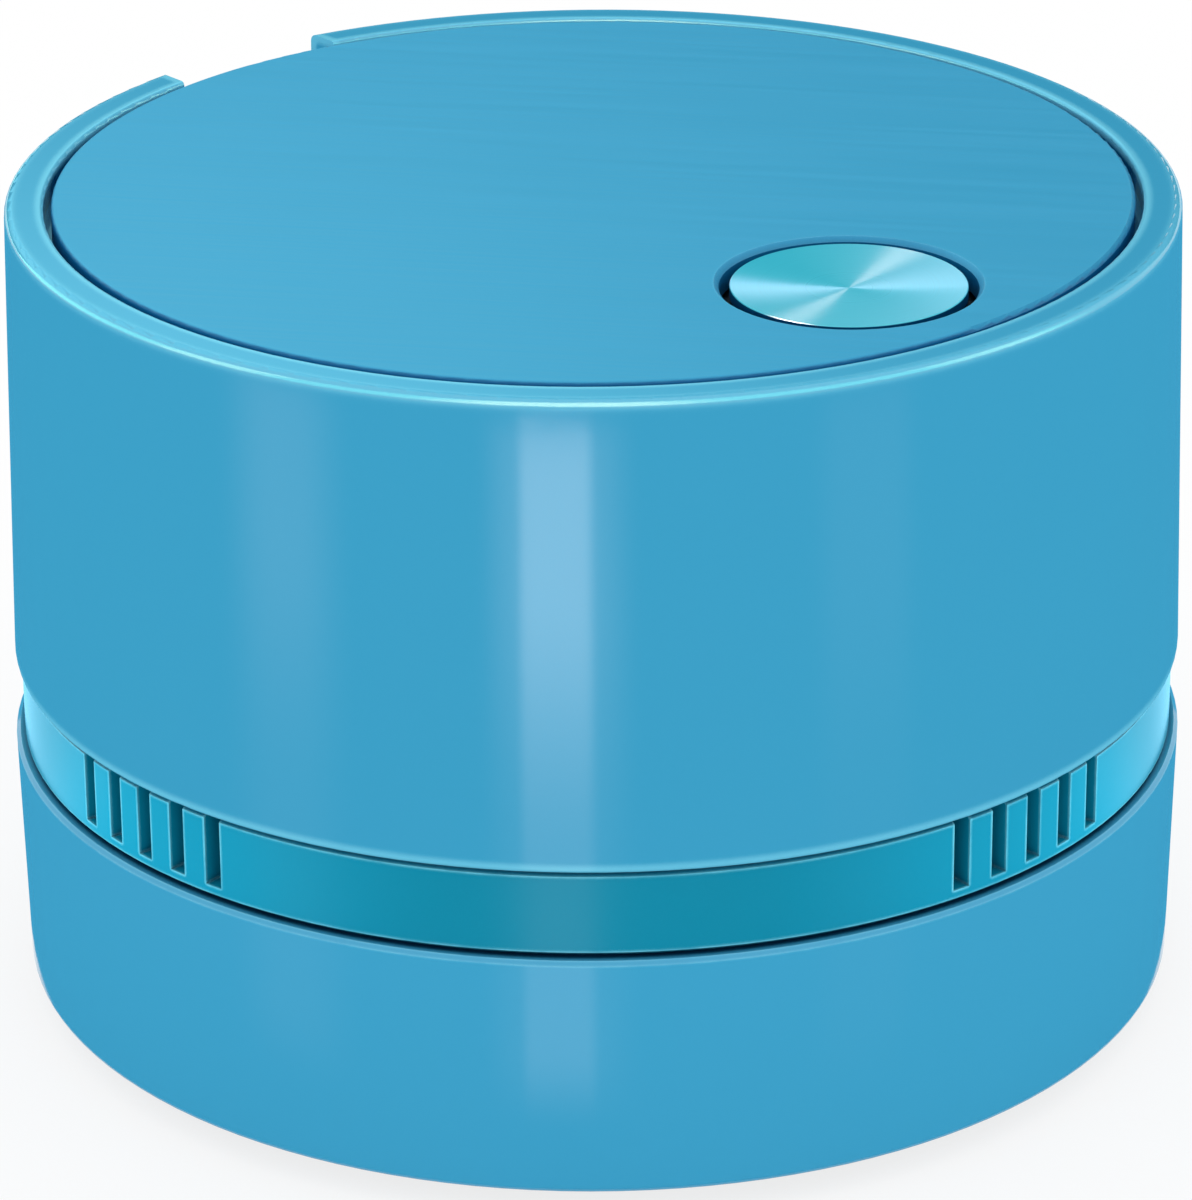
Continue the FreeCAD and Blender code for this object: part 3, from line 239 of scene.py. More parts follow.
def table_card_light(tree, place):
    """Light by distance and direction, so that the curved wall shows straight streaks."""
    bearing, reach = bearing_and_reach(tree, place)
    # A wall point sends the eye twice as far round as it stands itself.
    doubled = calc(tree, "SUBTRACT", calc(tree, "MULTIPLY", reach, 2.0), shell_radius)
    wall_angle = calc(tree, "MULTIPLY", bearing, calc(tree, "DIVIDE", reach, doubled))
    gap = calc(tree, "SUBTRACT", reach, shell_radius)
    near_end = ease(tree, gap, 0.0105, 0.0225)
    far_end = ease(tree, gap, 0.1663, 0.1675, 1.0, 0.0)
    fade = calc(tree, "MULTIPLY", near_end, ease(tree, gap, 0.062, 0.124, 0.30, 1.0))
    fade = calc(tree, "MULTIPLY", fade, far_end)
    total = 0.0
    for start, full, ebb, end, strength in STREAKS:
        streak = calc(
            tree, "MULTIPLY", ease(tree, wall_angle, start, full),
            ease(tree, wall_angle, ebb, end, strength, 0.0))
        total = calc(tree, "ADD", total, calc(tree, "MULTIPLY", streak, fade))
    return wire(tree, "VectorMath", {0: card_blue, 1: total}, operation="ADD").outputs[0]


def side_light(tree, place):
    """Cyan light on both sides, paler behind, that brightens the ends of the vent ring."""
    off_middle = calc(tree, "ABSOLUTE", bearing_and_reach(tree, place)[0])
    behind = ease(tree, off_middle, 80.0, 120.0)
    level = calc(
        tree, "MULTIPLY", ease(tree, off_middle, 20.0, 60.0, 0.0, 2.6),
        ease(tree, behind, 0.0, 1.0, 1.0, 0.42))
    tint = mix_colour(tree, behind, (0.05, 1.0, 1.45, 1), (0.5, 1.0, 1.2, 1))
    return scaled(tree, tint, level)


def lay_on_table(name, level, light_of, clear=False):
    """A broad flat ring of card round the vacuum."""
    near = shell_radius + 0.001
    far = 0.34
    bm = bmesh.new()
    bmesh.ops.create_circle(bm, segments=96, radius=near)
    outer = bmesh.ops.extrude_edge_only(bm, edges=bm.edges[:])["geom"]
    outer = [part for part in outer if isinstance(part, bmesh.types.BMVert)]
    bmesh.ops.scale(bm, vec=(far / near, far / near, 1), verts=outer)
    return put_up(
        name, bm, light_of, clear, Matrix.Translation((0, 0, level)) @ Matrix.Rotation(camera_yaw, 4, "Z"))


lay_on_table("table_card", 0.0002, table_card_light)
side_card = lay_on_table("side_card", 0.0004, side_light, clear=True)


def hang(name, bearing, height, distance, width, tall, light_of, clear=False):
    """A card that faces the vacuum, by its direction from the camera's in degrees."""
    turn = camera_yaw + math.radians(bearing)
    rise = math.radians(height)
    towards = Vector((math.sin(turn) * math.cos(rise), -math.cos(turn) * math.cos(rise), math.sin(rise)))
    bm = bmesh.new()
    bmesh.ops.create_grid(
        bm, x_segments=1, y_segments=1, size=0.5, matrix=Matrix.Diagonal((width, tall, 1, 1)))
    facing = towards.to_track_quat("Z", "Y").to_matrix().to_4x4()
    return put_up(
        name, bm, light_of, clear,
        Matrix.Translation(Vector((0, 0, lid_level)) + towards * distance) @ facing)


def blue_wall(tree, place):
    """The sky-blue wall behind, brightest high up on the left."""
    axes = wire(tree, "SeparateXYZ", {0: place}).outputs
    level = ease(tree, axes["X"], -0.06, 0.06, 0.12, 1.0)
    level = calc(tree, "MULTIPLY", level, ease(tree, axes["Y"], -0.11, -0.03, 0.0, 1.6))
    return scaled(tree, (0.45, 1.2, 1.36), level)


# The bright line on the rim: where it is whitest, in degrees round it from the
# camera, how far that reaches on each side, and how bright it is.
RIM_GLOWS = [(-76.0, 18.0, 0.5), (-5.0, 34.0, 1.0), (80.0, 18.0, 0.35)]


def rim_light(tree, place):
    """A band of cyan light high up in front and lower to the sides, with whiter patches."""
    bearing, reach = bearing_and_reach(tree, place)
    upwards = calc(tree, "DIVIDE", wire(tree, "SeparateXYZ", {0: place}).outputs["Z"], reach)
    height = calc(tree, "MULTIPLY", calc(tree, "ARCSINE", upwards), math.degrees(1))
    off_middle = calc(tree, "ABSOLUTE", bearing)
    middle = calc(tree, "MULTIPLY_ADD", off_middle, -0.22, 37.0)
    half = calc(tree, "MULTIPLY_ADD", off_middle, -0.12, 27.0)
    outside = calc(tree, "DIVIDE", calc(tree, "ABSOLUTE", calc(tree, "SUBTRACT", height, middle)), half)
    band = ease(tree, outside, 0.75, 1.15, 1.0, 0.0)
    ends = calc(
        tree, "MULTIPLY", ease(tree, bearing, -150.0, -100.0, 0.45, 1.0),
        ease(tree, bearing, 90.0, 110.0, 1.0, 0.08))
    ends = calc(tree, "MULTIPLY", ends, ease(tree, off_middle, 150.0, 170.0, 1.0, 0.0))
    white = 0.0
    for centre, spread, strength in RIM_GLOWS:
        away = calc(tree, "ABSOLUTE", calc(tree, "SUBTRACT", bearing, centre))
        white = calc(tree, "ADD", white, ease(tree, away, spread * 0.3, spread, strength, 0.0))
    cyan_part = scaled(tree, (0.9, 5.0, 3.9), ends)
    white_part = scaled(tree, (7.0, 5.5, 2.4), white)
    total = wire(tree, "VectorMath", {0: cyan_part, 1: white_part}, operation="ADD").outputs[0]
    return scaled(tree, total, band)


def arch_over(name, radius, light_of):
    """A clear dome over the vacuum, centred on the lid, that glows as light_of says."""
    bm = bmesh.new()
    bmesh.ops.create_uvsphere(bm, u_segments=64, v_segments=32, radius=radius)
    bmesh.ops.bisect_plane(
        bm, geom=bm.verts[:] + bm.edges[:] + bm.faces[:], plane_co=(0, 0, 0), plane_no=(0, 0, -1),
        clear_outer=True)
    return put_up(
        name, bm, light_of, True,
        Matrix.Translation((0, 0, lid_level)) @ Matrix.Rotation(camera_yaw, 4, "Z"))


def soft_patch(half, light):
    """A round patch of light that ends softly."""
    def light_of(tree, place):
        return scaled(tree, light, ease(tree, length(tree, place), half * 0.3, half, 1.0, 0.0))
    return light_of


# What shines on the button alone: name, bearing and height in degrees, distance, width
# and tallness of the card, how far its patch of light reaches, and the light.
BUTTON_LIGHTS = [
    ("fill_card", 180, 40, 0.18, 0.5, 0.3, 0.6, (0.22, 0.72, 0.78)),
    ("high_card", -72, 48, 0.9, 0.8, 0.35, 0.4, (52, 8.0, 6.2)),
    ("left_card", -169, 10, 0.17, 0.05, 0.04, 0.025, (6.5, 3.0, 3.8)),
    ("right_card", 165, 17, 0.17, 0.05, 0.04, 0.025, (5, 2.0, 2.2)),
]
lid_level = cad_box[1][2]
wall_card = hang("wall_card", 180, 40, 0.20, 0.5, 0.3, blue_wall)
rim_dome = arch_over("rim_dome", 0.8, rim_light)
button_cards = [
    hang(name, bearing, height, distance, width, tall, soft_patch(half, light), clear=True)
    for name, bearing, height, distance, width, tall, half, light in BUTTON_LIGHTS
]


# ----------------------------------------------------------------- the two shells
# upper_housing and dust_cup are moulded in ABS and sprayed a clear, glossy sky
# blue with a very fine pearl.  Handling has paled their outer edges a little; a
# painted highlight pales those edges and rims further, and their seams carry painted shade.

def new_group(name, inputs, outputs):
    """An empty node group with named sockets: its tree, what goes in and what comes out."""
    group = bpy.data.node_groups.new(name, "ShaderNodeTree")
    for label, kind in inputs:
        group.interface.new_socket(label, in_out="INPUT", socket_type="NodeSocket" + kind)
    for label, kind in outputs:
        group.interface.new_socket(label, in_out="OUTPUT", socket_type="NodeSocket" + kind)
    return group, group.nodes.new("NodeGroupInput").outputs, group.nodes.new("NodeGroupOutput").inputs


def noise(tree, place, scale, detail=2.0):
    return wire(tree, "TexNoise", {"Vector": place, "Scale": scale, "Detail": detail}).outputs[0]


def varied(tree, value, field, spread):
    """The value plus or minus half the spread, as the field goes from 0 to 1."""
    shift = calc(tree, "MULTIPLY", calc(tree, "SUBTRACT", field, 0.5), spread)
    return calc(tree, "ADD", value, shift)


# Colour, gloss and relief of a moulded skin: slow drift of tone, small flecks, and
# a fine grain whose size is given per metre.
moulded_skin, given, result = new_group(
    "moulded_skin",
    [("Color", "Color"), ("Roughness", "Float"), ("Drift", "Float"), ("Grain", "Float")],
    [("Color", "Color"), ("Roughness", "Float"), ("Height", "Float")])
place = wire(moulded_skin, "TexCoord").outputs["Object"]
slow = noise(moulded_skin, place, 38.0)
fleck = noise(moulded_skin, place, 5200.0, 1.0)
tone = varied(moulded_skin, varied(moulded_skin, 1.0, slow, given["Drift"]), fleck, given["Drift"])
shade = wire(moulded_skin, "HueSaturation", {"Value": tone, "Color": given["Color"]})
moulded_skin.links.new(shade.outputs[0], result["Color"])
patches = noise(moulded_skin, place, 160.0)
gloss = varied(moulded_skin, given["Roughness"], patches, calc(moulded_skin, "MULTIPLY", given["Drift"], 1.5))
moulded_skin.links.new(gloss, result["Roughness"])
moulded_skin.links.new(noise(moulded_skin, place, given["Grain"], 3.0), result["Height"])

# Where handling has polished and paled an edge, with a painted highlight along it.
edge_wear_and_highlight, given, result = new_group("edge_wear_and_highlight", [("Radius", "Float")], [("Mask", "Float")])
rounded = wire(edge_wear_and_highlight, "Bevel", {"Radius": given["Radius"]}, samples=4).outputs[0]
true_normal = wire(edge_wear_and_highlight, "NewGeometry").outputs["Normal"]
agreement = wire(
    edge_wear_and_highlight, "VectorMath", {0: rounded, 1: true_normal}, operation="DOT_PRODUCT").outputs["Value"]
turned_away = ease(edge_wear_and_highlight, agreement, 0.995, 0.90)
place = wire(edge_wear_and_highlight, "TexCoord").outputs["Object"]
patches = ease(edge_wear_and_highlight, noise(edge_wear_and_highlight, place, 420.0, 4.0), 0.3, 0.6, 0.55, 1.0)
edge_wear_and_highlight.links.new(calc(edge_wear_and_highlight, "MULTIPLY", turned_away, patches), result["Mask"])

# The same wear and painted highlight on edges that are moulded round, where the body is thinner than the
# reach.
round_wear_and_highlight, given, result = new_group("round_wear_and_highlight", [("Reach", "Float")], [("Mask", "Float")])
thickness = wire(
    round_wear_and_highlight, "AmbientOcclusion", {"Distance": given["Reach"]}, samples=6, inside=True).outputs["AO"]
round_wear_and_highlight.links.new(ease(round_wear_and_highlight, thickness, 0.985, 0.86), result["Mask"])

# Painted shade in seams narrower than the reach: the colour darkens towards the
# seam colour up to where the surface is open to the sky by the share given.
painted_seam_shade, given, result = new_group(
    "painted_seam_shade", [("Reach", "Float"), ("Unshaded", "Float")], [("Mask", "Float")])
openness = wire(painted_seam_shade, "AmbientOcclusion", {"Distance": given["Reach"]}, samples=6).outputs["AO"]
full = calc(painted_seam_shade, "MULTIPLY_ADD", given["Unshaded"], 2.0, -1.3)
painted_seam_shade.links.new(ease(painted_seam_shade, openness, full, given["Unshaded"], 1.0, 0.0), result["Mask"])


def principled(name):
    """A new material with its tree and its shader's inputs."""
    material = bpy.data.materials.new(name)
    material.use_nodes = True
    tree = material.node_tree
    return material, tree, tree.nodes["Principled BSDF"].inputs


def emboss(tree, distance, height):
    """Gives a material its relief, in place of any it had."""
    bump = wire(tree, "Bump", {"Distance": distance, "Height": height})
    tree.links.new(bump.outputs[0], tree.nodes["Principled BSDF"].inputs["Normal"])


def moulded_plastic(name, colour, edge_colour, roughness, drift=0.04, grain=1500.0, relief=3e-6,
                    ior=1.5, edge_radius=0.0002, seam_shade_colour=None, seam_reach=0.001,
                    seam_unshaded=0.80, round_reach=None):
    """A moulded plastic with its own skin; its edges take the edge colour as wear and painted highlight, and
    its seams a painted shade.
    """
    material, tree, shader = principled(name)
    shader["IOR"].default_value = ior
    skin = wire(tree, "Group", {
        "Color": colour, "Roughness": roughness, "Drift": drift, "Grain": grain,
    }, node_tree=moulded_skin).outputs
    edge = wire(tree, "Group", {"Radius": edge_radius}, node_tree=edge_wear_and_highlight).outputs["Mask"]
    finish = mix_colour(tree, edge, skin["Color"], edge_colour)
    if seam_shade_colour:
        seam = wire(tree, "Group", {
            "Reach": seam_reach, "Unshaded": seam_unshaded}, node_tree=painted_seam_shade).outputs["Mask"]
        finish = mix_colour(tree, seam, finish, seam_shade_colour)
    if round_reach:
        round_edge = wire(tree, "Group", {"Reach": round_reach}, node_tree=round_wear_and_highlight).outputs["Mask"]
        finish = mix_colour(tree, round_edge, finish, edge_colour)
    tree.links.new(finish, shader["Base Color"])
    tree.links.new(skin["Roughness"], shader["Roughness"])
    emboss(tree, relief, skin["Height"])
    return material


def dress(material, *names):
    """Gives CAD pieces their finish."""
    for name in names:
        for slot in cad[name].material_slots:
            slot.material = material


# Edges pale with wear and a painted highlight, most of all round the rims.
shell_finish = dict(
    edge_colour=paint(110, 205, 235), roughness=0.08,
    drift=0.02, grain=700.0, relief=2e-6, edge_radius=0.00025)
# Painted shade, dark blue, in the gap round the lid and in other narrow seams.
lid_seam_shade = dict(seam_shade_colour=paint(4, 104, 158), seam_reach=0.0014)
dress(moulded_plastic(
    "case_blue", paint(63, 167, 208), **shell_finish, **lid_seam_shade, seam_unshaded=0.9, round_reach=0.0008),
    "upper_housing")
# The cup is the housing's blue painted a little lighter, to offset the shade low down near the table; its
# seam colour is painted shade in its narrow seams, as under the vent ring.
dress(moulded_plastic(
    "cup_blue", paint(66, 171, 213), **shell_finish, seam_shade_colour=paint(8, 62, 98)), "dust_cup")
shine_only_on(rim_dome, cad["upper_housing"])


# -------------------------------------------------------------------- vent ring
# vent_ring is moulded in one piece, in a darker blue-green with a high gloss.
# The edges of its band and of its slots are broken; their pale lines are a painted
# highlight, and the dark in its slots and seams is painted shade.

ring_teal = moulded_plastic(
    "ring_teal", paint(8, 145, 176), paint(135, 235, 255), 0.20,
    drift=0.05, grain=500.0, relief=2e-6, ior=1.35, edge_radius=0.00035, seam_shade_colour=paint(4, 60, 90))
dress(ring_teal, "vent_ring")
shine_only_on(side_card, cad["vent_ring"])


# -------------------------------------------------------------------------- lid
# lid is the battery cover: a flat disc of the housing's blue, whose face is
# finely brushed in one direction under a thin satin lacquer.

# Long fine lines along one direction, given by a turn about the upright axis.
brushed_lines, given, result = new_group(
    "brushed_lines", [("Turn", "Vector"), ("Width", "Float")], [("Lines", "Float")])
place = wire(brushed_lines, "TexCoord").outputs["Object"]
along = wire(brushed_lines, "Mapping", {"Vector": place, "Rotation": given["Turn"]}).outputs[0]
drawn = wire(brushed_lines, "Mapping", {"Vector": along, "Scale": (0.018, 1.0, 1.0)}).outputs[0]
fine = noise(brushed_lines, drawn, given["Width"], 3.0)
brushed_lines.links.new(fine, result["Lines"])

# Its pale edge colour is wear with a painted highlight, and its seam colour painted shade round its edge and
# the button hole.
lid_blue = moulded_plastic(
    "lid_blue", paint(54, 165, 208), paint(95, 190, 228), 0.36,
    drift=0.02, grain=2600.0, relief=2e-6, ior=1.35, edge_radius=0.00022, **lid_seam_shade, seam_unshaded=0.99)
tree = lid_blue.node_tree
shader = tree.nodes["Principled BSDF"].inputs
lines = wire(tree, "Group", {
    "Turn": (0, 0, math.radians(50)), "Width": 2600.0}, node_tree=brushed_lines).outputs["Lines"]
plain = shader["Base Color"].links[0].from_socket
lined = wire(tree, "HueSaturation", {"Value": varied(tree, 1.0, lines, 0.10), "Color": plain})
tree.links.new(lined.outputs[0], shader["Base Color"])
tree.links.new(varied(tree, 0.38, lines, 0.3), shader["Roughness"])
emboss(tree, 4e-6, lines)
dress(lid_blue, "lid")


# --------------------------------------------------------------------- lid pads
# lid_pads are two strips of closed-cell foam, stuck under the lid with their own
# adhesive.  They press on the cells, so that the cells don't rattle.

def link_piece(name, bm, material, body, *replaced, slot=None, sharp=30.0):
    """Makes a finished mesh a piece that rides on a body in place of CAD nodes."""
    limit = math.radians(sharp)
    for face in bm.faces:
        face.smooth = True
    for edge in bm.edges:
        edge.smooth = len(edge.link_faces) == 2 and edge.calc_face_angle(0) < limit
    made = link_mesh(name, bm, material)
    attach(made, body)
    if replaced:
        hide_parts(*replaced)
    return made


def rounded_block(bm, low, high, radius, segments=3):
    """A block between two corners, with all its edges rounded."""
    size = Vector(high) - Vector(low)
    middle = (Vector(high) + Vector(low)) / 2
    block = bmesh.ops.create_cube(
        bm, size=1.0, matrix=Matrix.Translation(middle) @ Matrix.Diagonal((*size, 1)))
    edges = {edge for vert in block["verts"] for edge in vert.link_edges}
    bmesh.ops.bevel(
        bm, geom=list(edges), offset=radius, affect="EDGES", segments=segments, profile=0.5, material=-1)


foam = moulded_plastic(
    "foam", paint(56, 59, 64), paint(84, 88, 94), 0.95,
    drift=0.25, grain=3200.0, relief=1.2e-4, edge_radius=0.0003)
low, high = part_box("lid_pads")
strip_width = 0.010
strip_edge = 0.00035
bm = bmesh.new()
for start in (low.x, high.x - strip_width):
    rounded_block(bm, (start, low.y, low.z), (start + strip_width, high.y, high.z), strip_edge)
lid_pads = link_piece("foam_strips", bm, foam, "lid", "lid_pads", slot="foam", sharp=60)


# -------------------------------------------------------------------- push button
# button_cap is an aluminium disc, spun on its face so that fine rings run round
# its centre, with a bright turned edge, and anodised a pale blue.

def spun(bm, outline, steps, centre=(0, 0, 0)):
    """Turns an outline of (radius, level) pairs round the upright axis."""
    verts = [bm.verts.new((radius, 0, level)) for radius, level in outline]
    edges = [bm.edges.new(pair) for pair in zip(verts, verts[1:])]
    bmesh.ops.spin(
        bm, geom=verts + edges, cent=(0, 0, 0), axis=(0, 0, 1), angle=math.tau, steps=steps, use_merge=True)
    bmesh.ops.remove_doubles(bm, verts=bm.verts, dist=1e-6)
    bmesh.ops.recalc_face_normals(bm, faces=bm.faces)
    bmesh.ops.translate(bm, vec=centre, verts=bm.verts)


low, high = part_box("button_cap")
button_centre = Vector(((low.x + high.x) / 2, (low.y + high.y) / 2, 0))
button_radius = (high.x - low.x) / 2
button_edge = 0.00005
foot_edge = 0.0001
dish = 0.00025
bm = bmesh.new()
face_radius = button_radius - button_edge
face_rings = [(face_radius * part, high.z - dish * (1 - part * part)) for part in (0, 0.25, 0.5, 0.75, 1)]
spun(bm, [
    (0, low.z),
    (button_radius - foot_edge, low.z),
    (button_radius, low.z + foot_edge),
    (button_radius, high.z - button_edge),
    *reversed(face_rings),
], steps=128, centre=button_centre)

button_metal, tree, shader = principled("button_metal")
shader["Metallic"].default_value = 1.0
shader["Anisotropic"].default_value = 1.0
place = wire(tree, "TexCoord").outputs["Object"]
spoke = wire(tree, "VectorMath", {0: place, 1: button_centre}, operation="SUBTRACT").outputs[0]
spoke = wire(tree, "VectorMath", {0: spoke, 1: (1, 1, 0)}, operation="MULTIPLY").outputs[0]
outwards = wire(tree, "VectorMath", {0: spoke}, operation="NORMALIZE").outputs[0]
tree.links.new(outwards, shader["Tangent"])
rings = wire(tree, "TexNoise", {
    "W": calc(tree, "MULTIPLY", length(tree, spoke), 9000.0), "Scale": 1.0, "Detail": 2.0,
}, noise_dimensions="1D").outputs[0]
ring_tone = wire(tree, "HueSaturation", {
    "Value": varied(tree, 1.0, rings, 0.16), "Color": paint(98, 210, 228)})
tree.links.new(ring_tone.outputs[0], shader["Base Color"])
tree.links.new(varied(tree, 0.30, rings, 0.10), shader["Roughness"])
emboss(tree, 1.5e-6, rings)
spun_button = link_piece(
    "spun_button", bm, button_metal, "button", "button_cap", slot="button_metal", sharp=25)
for card in button_cards:
    shine_only_on(card, spun_button)
shine_only_on(wall_card, cad["upper_housing"], cad["lid"], cad["dust_cup"], cad["vent_ring"])


# ------------------------------------------------------- plunger, spring, switch
# The disc is glued to button_plunger, moulded in black nylon as the switch is.
# A coil of steel wire holds it up, and its stem works the slider of the switch.

switch_black = moulded_plastic(
    "switch_plastic", paint(31, 32, 34), paint(72, 74, 78), 0.45, drift=0.10, grain=2600.0, relief=6e-6)
dress(switch_black, "switch_body", "button_plunger", "switch_slider")


def metal(name, colour, roughness, drift=0.12, size=900.0, relief=3e-6):
    """Bare or plated metal, with rubbed patches and fine marks."""
    material, tree, shader = principled(name)
    shader["Metallic"].default_value = 1.0
    place = wire(tree, "TexCoord").outputs["Object"]
    patches = noise(tree, place, size, 4.0)
    marks = noise(tree, place, size * 6, 2.0)
    tone = varied(tree, varied(tree, 1.0, patches, drift), marks, drift)
    shade = wire(tree, "HueSaturation", {"Value": tone, "Color": colour})
    tree.links.new(shade.outputs[0], shader["Base Color"])
    tree.links.new(varied(tree, varied(tree, roughness, patches, 0.2), marks, 0.12), shader["Roughness"])
    emboss(tree, relief, marks)
    return material


zinc = metal("steel", paint(190, 192, 194), 0.36)
nickel = metal("contact_plate", paint(205, 202, 192), 0.28)
dress(nickel, "switch_pins")


def coiled(bm, radius, wire_radius, low, high, turns, centre):
    """A coil of round wire with a closed turn at each end, spun upwards from low to high."""
    steps = 40
    closed = wire_radius * 2.05
    start = Matrix.Translation((radius, 0, low + wire_radius)) @ Matrix.Rotation(math.pi / 2, 4, "X")
    section = bmesh.ops.create_circle(bm, cap_ends=True, segments=10, radius=wire_radius, matrix=start)
    end = list({e for v in section["verts"] for e in v.link_edges}) + section["verts"]
    open_rise = high - low - wire_radius * 2 - closed * 2
    for rise, count in ((closed, 1), (open_rise, turns - 2), (closed, 1)):
        total = int(steps * count)
        made = bmesh.ops.spin(
            bm, geom=end, cent=(0, 0, 0), axis=(0, 0, 1), dvec=(0, 0, rise / total),
            angle=math.tau * count, steps=total)
        end = [e for e in made["geom_last"] if not isinstance(e, bmesh.types.BMFace)]
    bmesh.ops.holes_fill(bm, edges=[e for e in bm.edges if e.is_boundary])
    bmesh.ops.recalc_face_normals(bm, faces=bm.faces)
    bmesh.ops.translate(bm, vec=centre, verts=bm.verts)


low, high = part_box("button_spring")
wire_radius = 0.0003
bm = bmesh.new()
coiled(bm, (high.x - low.x) / 2 - wire_radius, wire_radius, low.z, high.z, turns=6, centre=button_centre)
spring_steel = metal("spring_steel", paint(176, 178, 182), 0.22, size=1400.0)
spring = link_piece("return_spring", bm, spring_steel, "button", "button_spring", slot="steel", sharp=60)
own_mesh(spring)


# -------------------------------------------------------- battery tray and cells
# battery_tray is moulded in light grey ABS, and its two troughs hold AA cells.
# The cells wear a plain sleeve over a steel can.  The spring contacts are nickel
# plated, and the deck carries a raised plus or minus at each cell's end.

# Its seam colour is painted shade in the tray's narrow gaps and corners.
inner_grey = moulded_plastic(
    "inner_plastic", paint(219, 223, 226), paint(240, 242, 244), 0.42,
    drift=0.05, grain=1800.0, relief=1e-5, seam_shade_colour=paint(30, 48, 64), seam_reach=0.003)
dress(inner_grey, "battery_tray")
dress(nickel, "contact_bridge", "contact_negative", "contact_positive", "contact_springs")

tray_deck = 0.0567
mark_height = 0.0003
mark_arm = 0.0032
mark_bar = 0.0008
cell_x = 0.0185
bm = bmesh.new()
for mark_x, mark_y, plus in ((-cell_x, 0.0305, True), (cell_x, 0.0305, False),
                             (-cell_x, -0.0300, False), (cell_x, -0.0300, True)):
    for length, width in ((mark_arm, mark_bar), (mark_bar, mark_arm))[:1 + plus]:
        half = Vector((length, width, 0)) / 2
        spot = Vector((mark_x, mark_y, tray_deck))
        rounded_block(bm, spot - half, spot + half + Vector((0, 0, mark_height)), 0.00008, 1)
link_piece("polarity_marks", bm, inner_grey, "head", slot="inner_plastic")

sleeve = moulded_plastic(
    "cell_jacket", paint(196, 200, 204), paint(214, 218, 222), 0.25, drift=0.04, grain=900.0, relief=4e-6)
can = metal("cell_can", paint(202, 203, 200), 0.25)
cell_radius = 0.00725
cell_length = 0.0505
cell_level = 0.0495
for label, side in (("left", -1), ("right", 1)):
    low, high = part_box("battery_cell_" + label)
    bm = bmesh.new()
    # From the middle of the flat end over the crimped rims to the raised pole.
    spun(bm, [
        (0, 0.0002), (0.0046, 0.0002), (0.0052, 0), (cell_radius - 0.0007, 0), (cell_radius - 0.0001, 0.0005),
        (cell_radius, 0.0006), (cell_radius, 0.0120), (cell_radius, 0.0124), (cell_radius, 0.0489),
        (cell_radius - 0.0002, 0.0493), (cell_radius - 0.0006, 0.0495), (cell_radius - 0.0013, 0.0495),
        (cell_radius - 0.0017, 0.0492), (0.0029, 0.0492), (0.0027, 0.0494), (0.0027, 0.0502),
        (0.0024, cell_length), (0, cell_length),
    ], steps=64)
    for face in bm.faces:
        middle = face.calc_center_median()
        face.material_index = 0 if 0.0004 < middle.z < 0.0494 and middle.xy.length > 0.0055 else 1
    turned = Matrix.Rotation(math.pi / 2 * side, 4, "X")
    foot = high.y if side > 0 else low.y
    bmesh.ops.transform(
        bm, matrix=Matrix.Translation((cell_x * side, foot, cell_level)) @ turned, verts=bm.verts)
    cell = link_piece("cell_" + label, bm, sleeve, "head", "battery_cell_" + label, slot="cell_jacket")
    cell.data.materials.append(can)


# ------------------------------------------------------------------------- motor
# A small flat-sided motor: a drawn steel can, a white nylon end cap, two ferrite
# magnets, bronze bushes, and a rubber damper between the cap and the tray.

nylon = moulded_plastic("motor_plastic", paint(236, 236, 230), paint(246, 246, 242), 0.5, drift=0.04)
bronze = metal("bronze", paint(178, 132, 78), 0.42)
copper = metal("copper", paint(190, 112, 66), 0.30, size=1600.0)
ferrite = moulded_plastic(
    "ferrite", paint(44, 44, 47), paint(80, 80, 84), 0.8, drift=0.2, grain=5000.0, relief=2e-5)
rubber = moulded_plastic(
    "rubber_seal", paint(38, 40, 43), paint(58, 60, 64), 0.7, drift=0.12, grain=2400.0, relief=1e-5)
dress(metal("motor_steel", paint(184, 186, 188), 0.30, size=500.0), "motor_can", "motor_shaft")
dress(nylon, "motor_end_cap")
dress(ferrite, "motor_magnets")
dress(bronze, "motor_bushes", "motor_brushes")
dress(rubber, "motor_damper", "seal_ring")
dress(nickel, "motor_terminals")
dress(copper, "commutator")

# Enamelled wire wound round each pole: close turns that run along the motor.
windings = metal("enamelled_copper", paint(176, 92, 48), 0.26, size=1200.0)
tree = windings.node_tree
place = wire(tree, "TexCoord").outputs["Object"]
turns = wire(tree, "TexWave", {"Vector": place, "Scale": 620.0, "Distortion": 1.2, "Detail": 1.0},
             bands_direction="DIAGONAL").outputs[1]
emboss(tree, 6e-5, turns)
dress(windings, "armature_windings")

# Thin steel plates stacked up the shaft.
plates = metal("laminations", paint(92, 94, 98), 0.45)
tree = plates.node_tree
place = wire(tree, "TexCoord").outputs["Object"]
stack = wire(tree, "TexWave", {"Vector": place, "Scale": 420.0}, bands_direction="Z").outputs[1]
emboss(tree, 4e-5, stack)
dress(plates, "armature_core")


# --------------------------------------------------------------- fan, deck, guard
# The fan wheel is white nylon.  Its deck is moulded in the tray's grey, and the
# guard plate under it in a dull blue.

fan_white = moulded_plastic("fan_plastic", paint(235, 237, 237), paint(246, 247, 247), 0.40, drift=0.03)
guard_blue = moulded_plastic("guard_plastic", paint(51, 128, 158), paint(92, 170, 198), 0.42, drift=0.06)
dress(fan_white, "impeller")
dress(inner_grey, "fan_deck")
dress(guard_blue, "guard_plate")


# ------------------------------------------------------------------------- filter
# filter_frame is a white snap-in ring that rides up with the head.  A disc of fine
# woven nylon, filter_mesh, is welded on it and sags a little in the middle.

filter_white = moulded_plastic("filter_plastic", paint(230, 232, 232), paint(244, 245, 245), 0.5, drift=0.04)
dress(filter_white, "filter_frame")

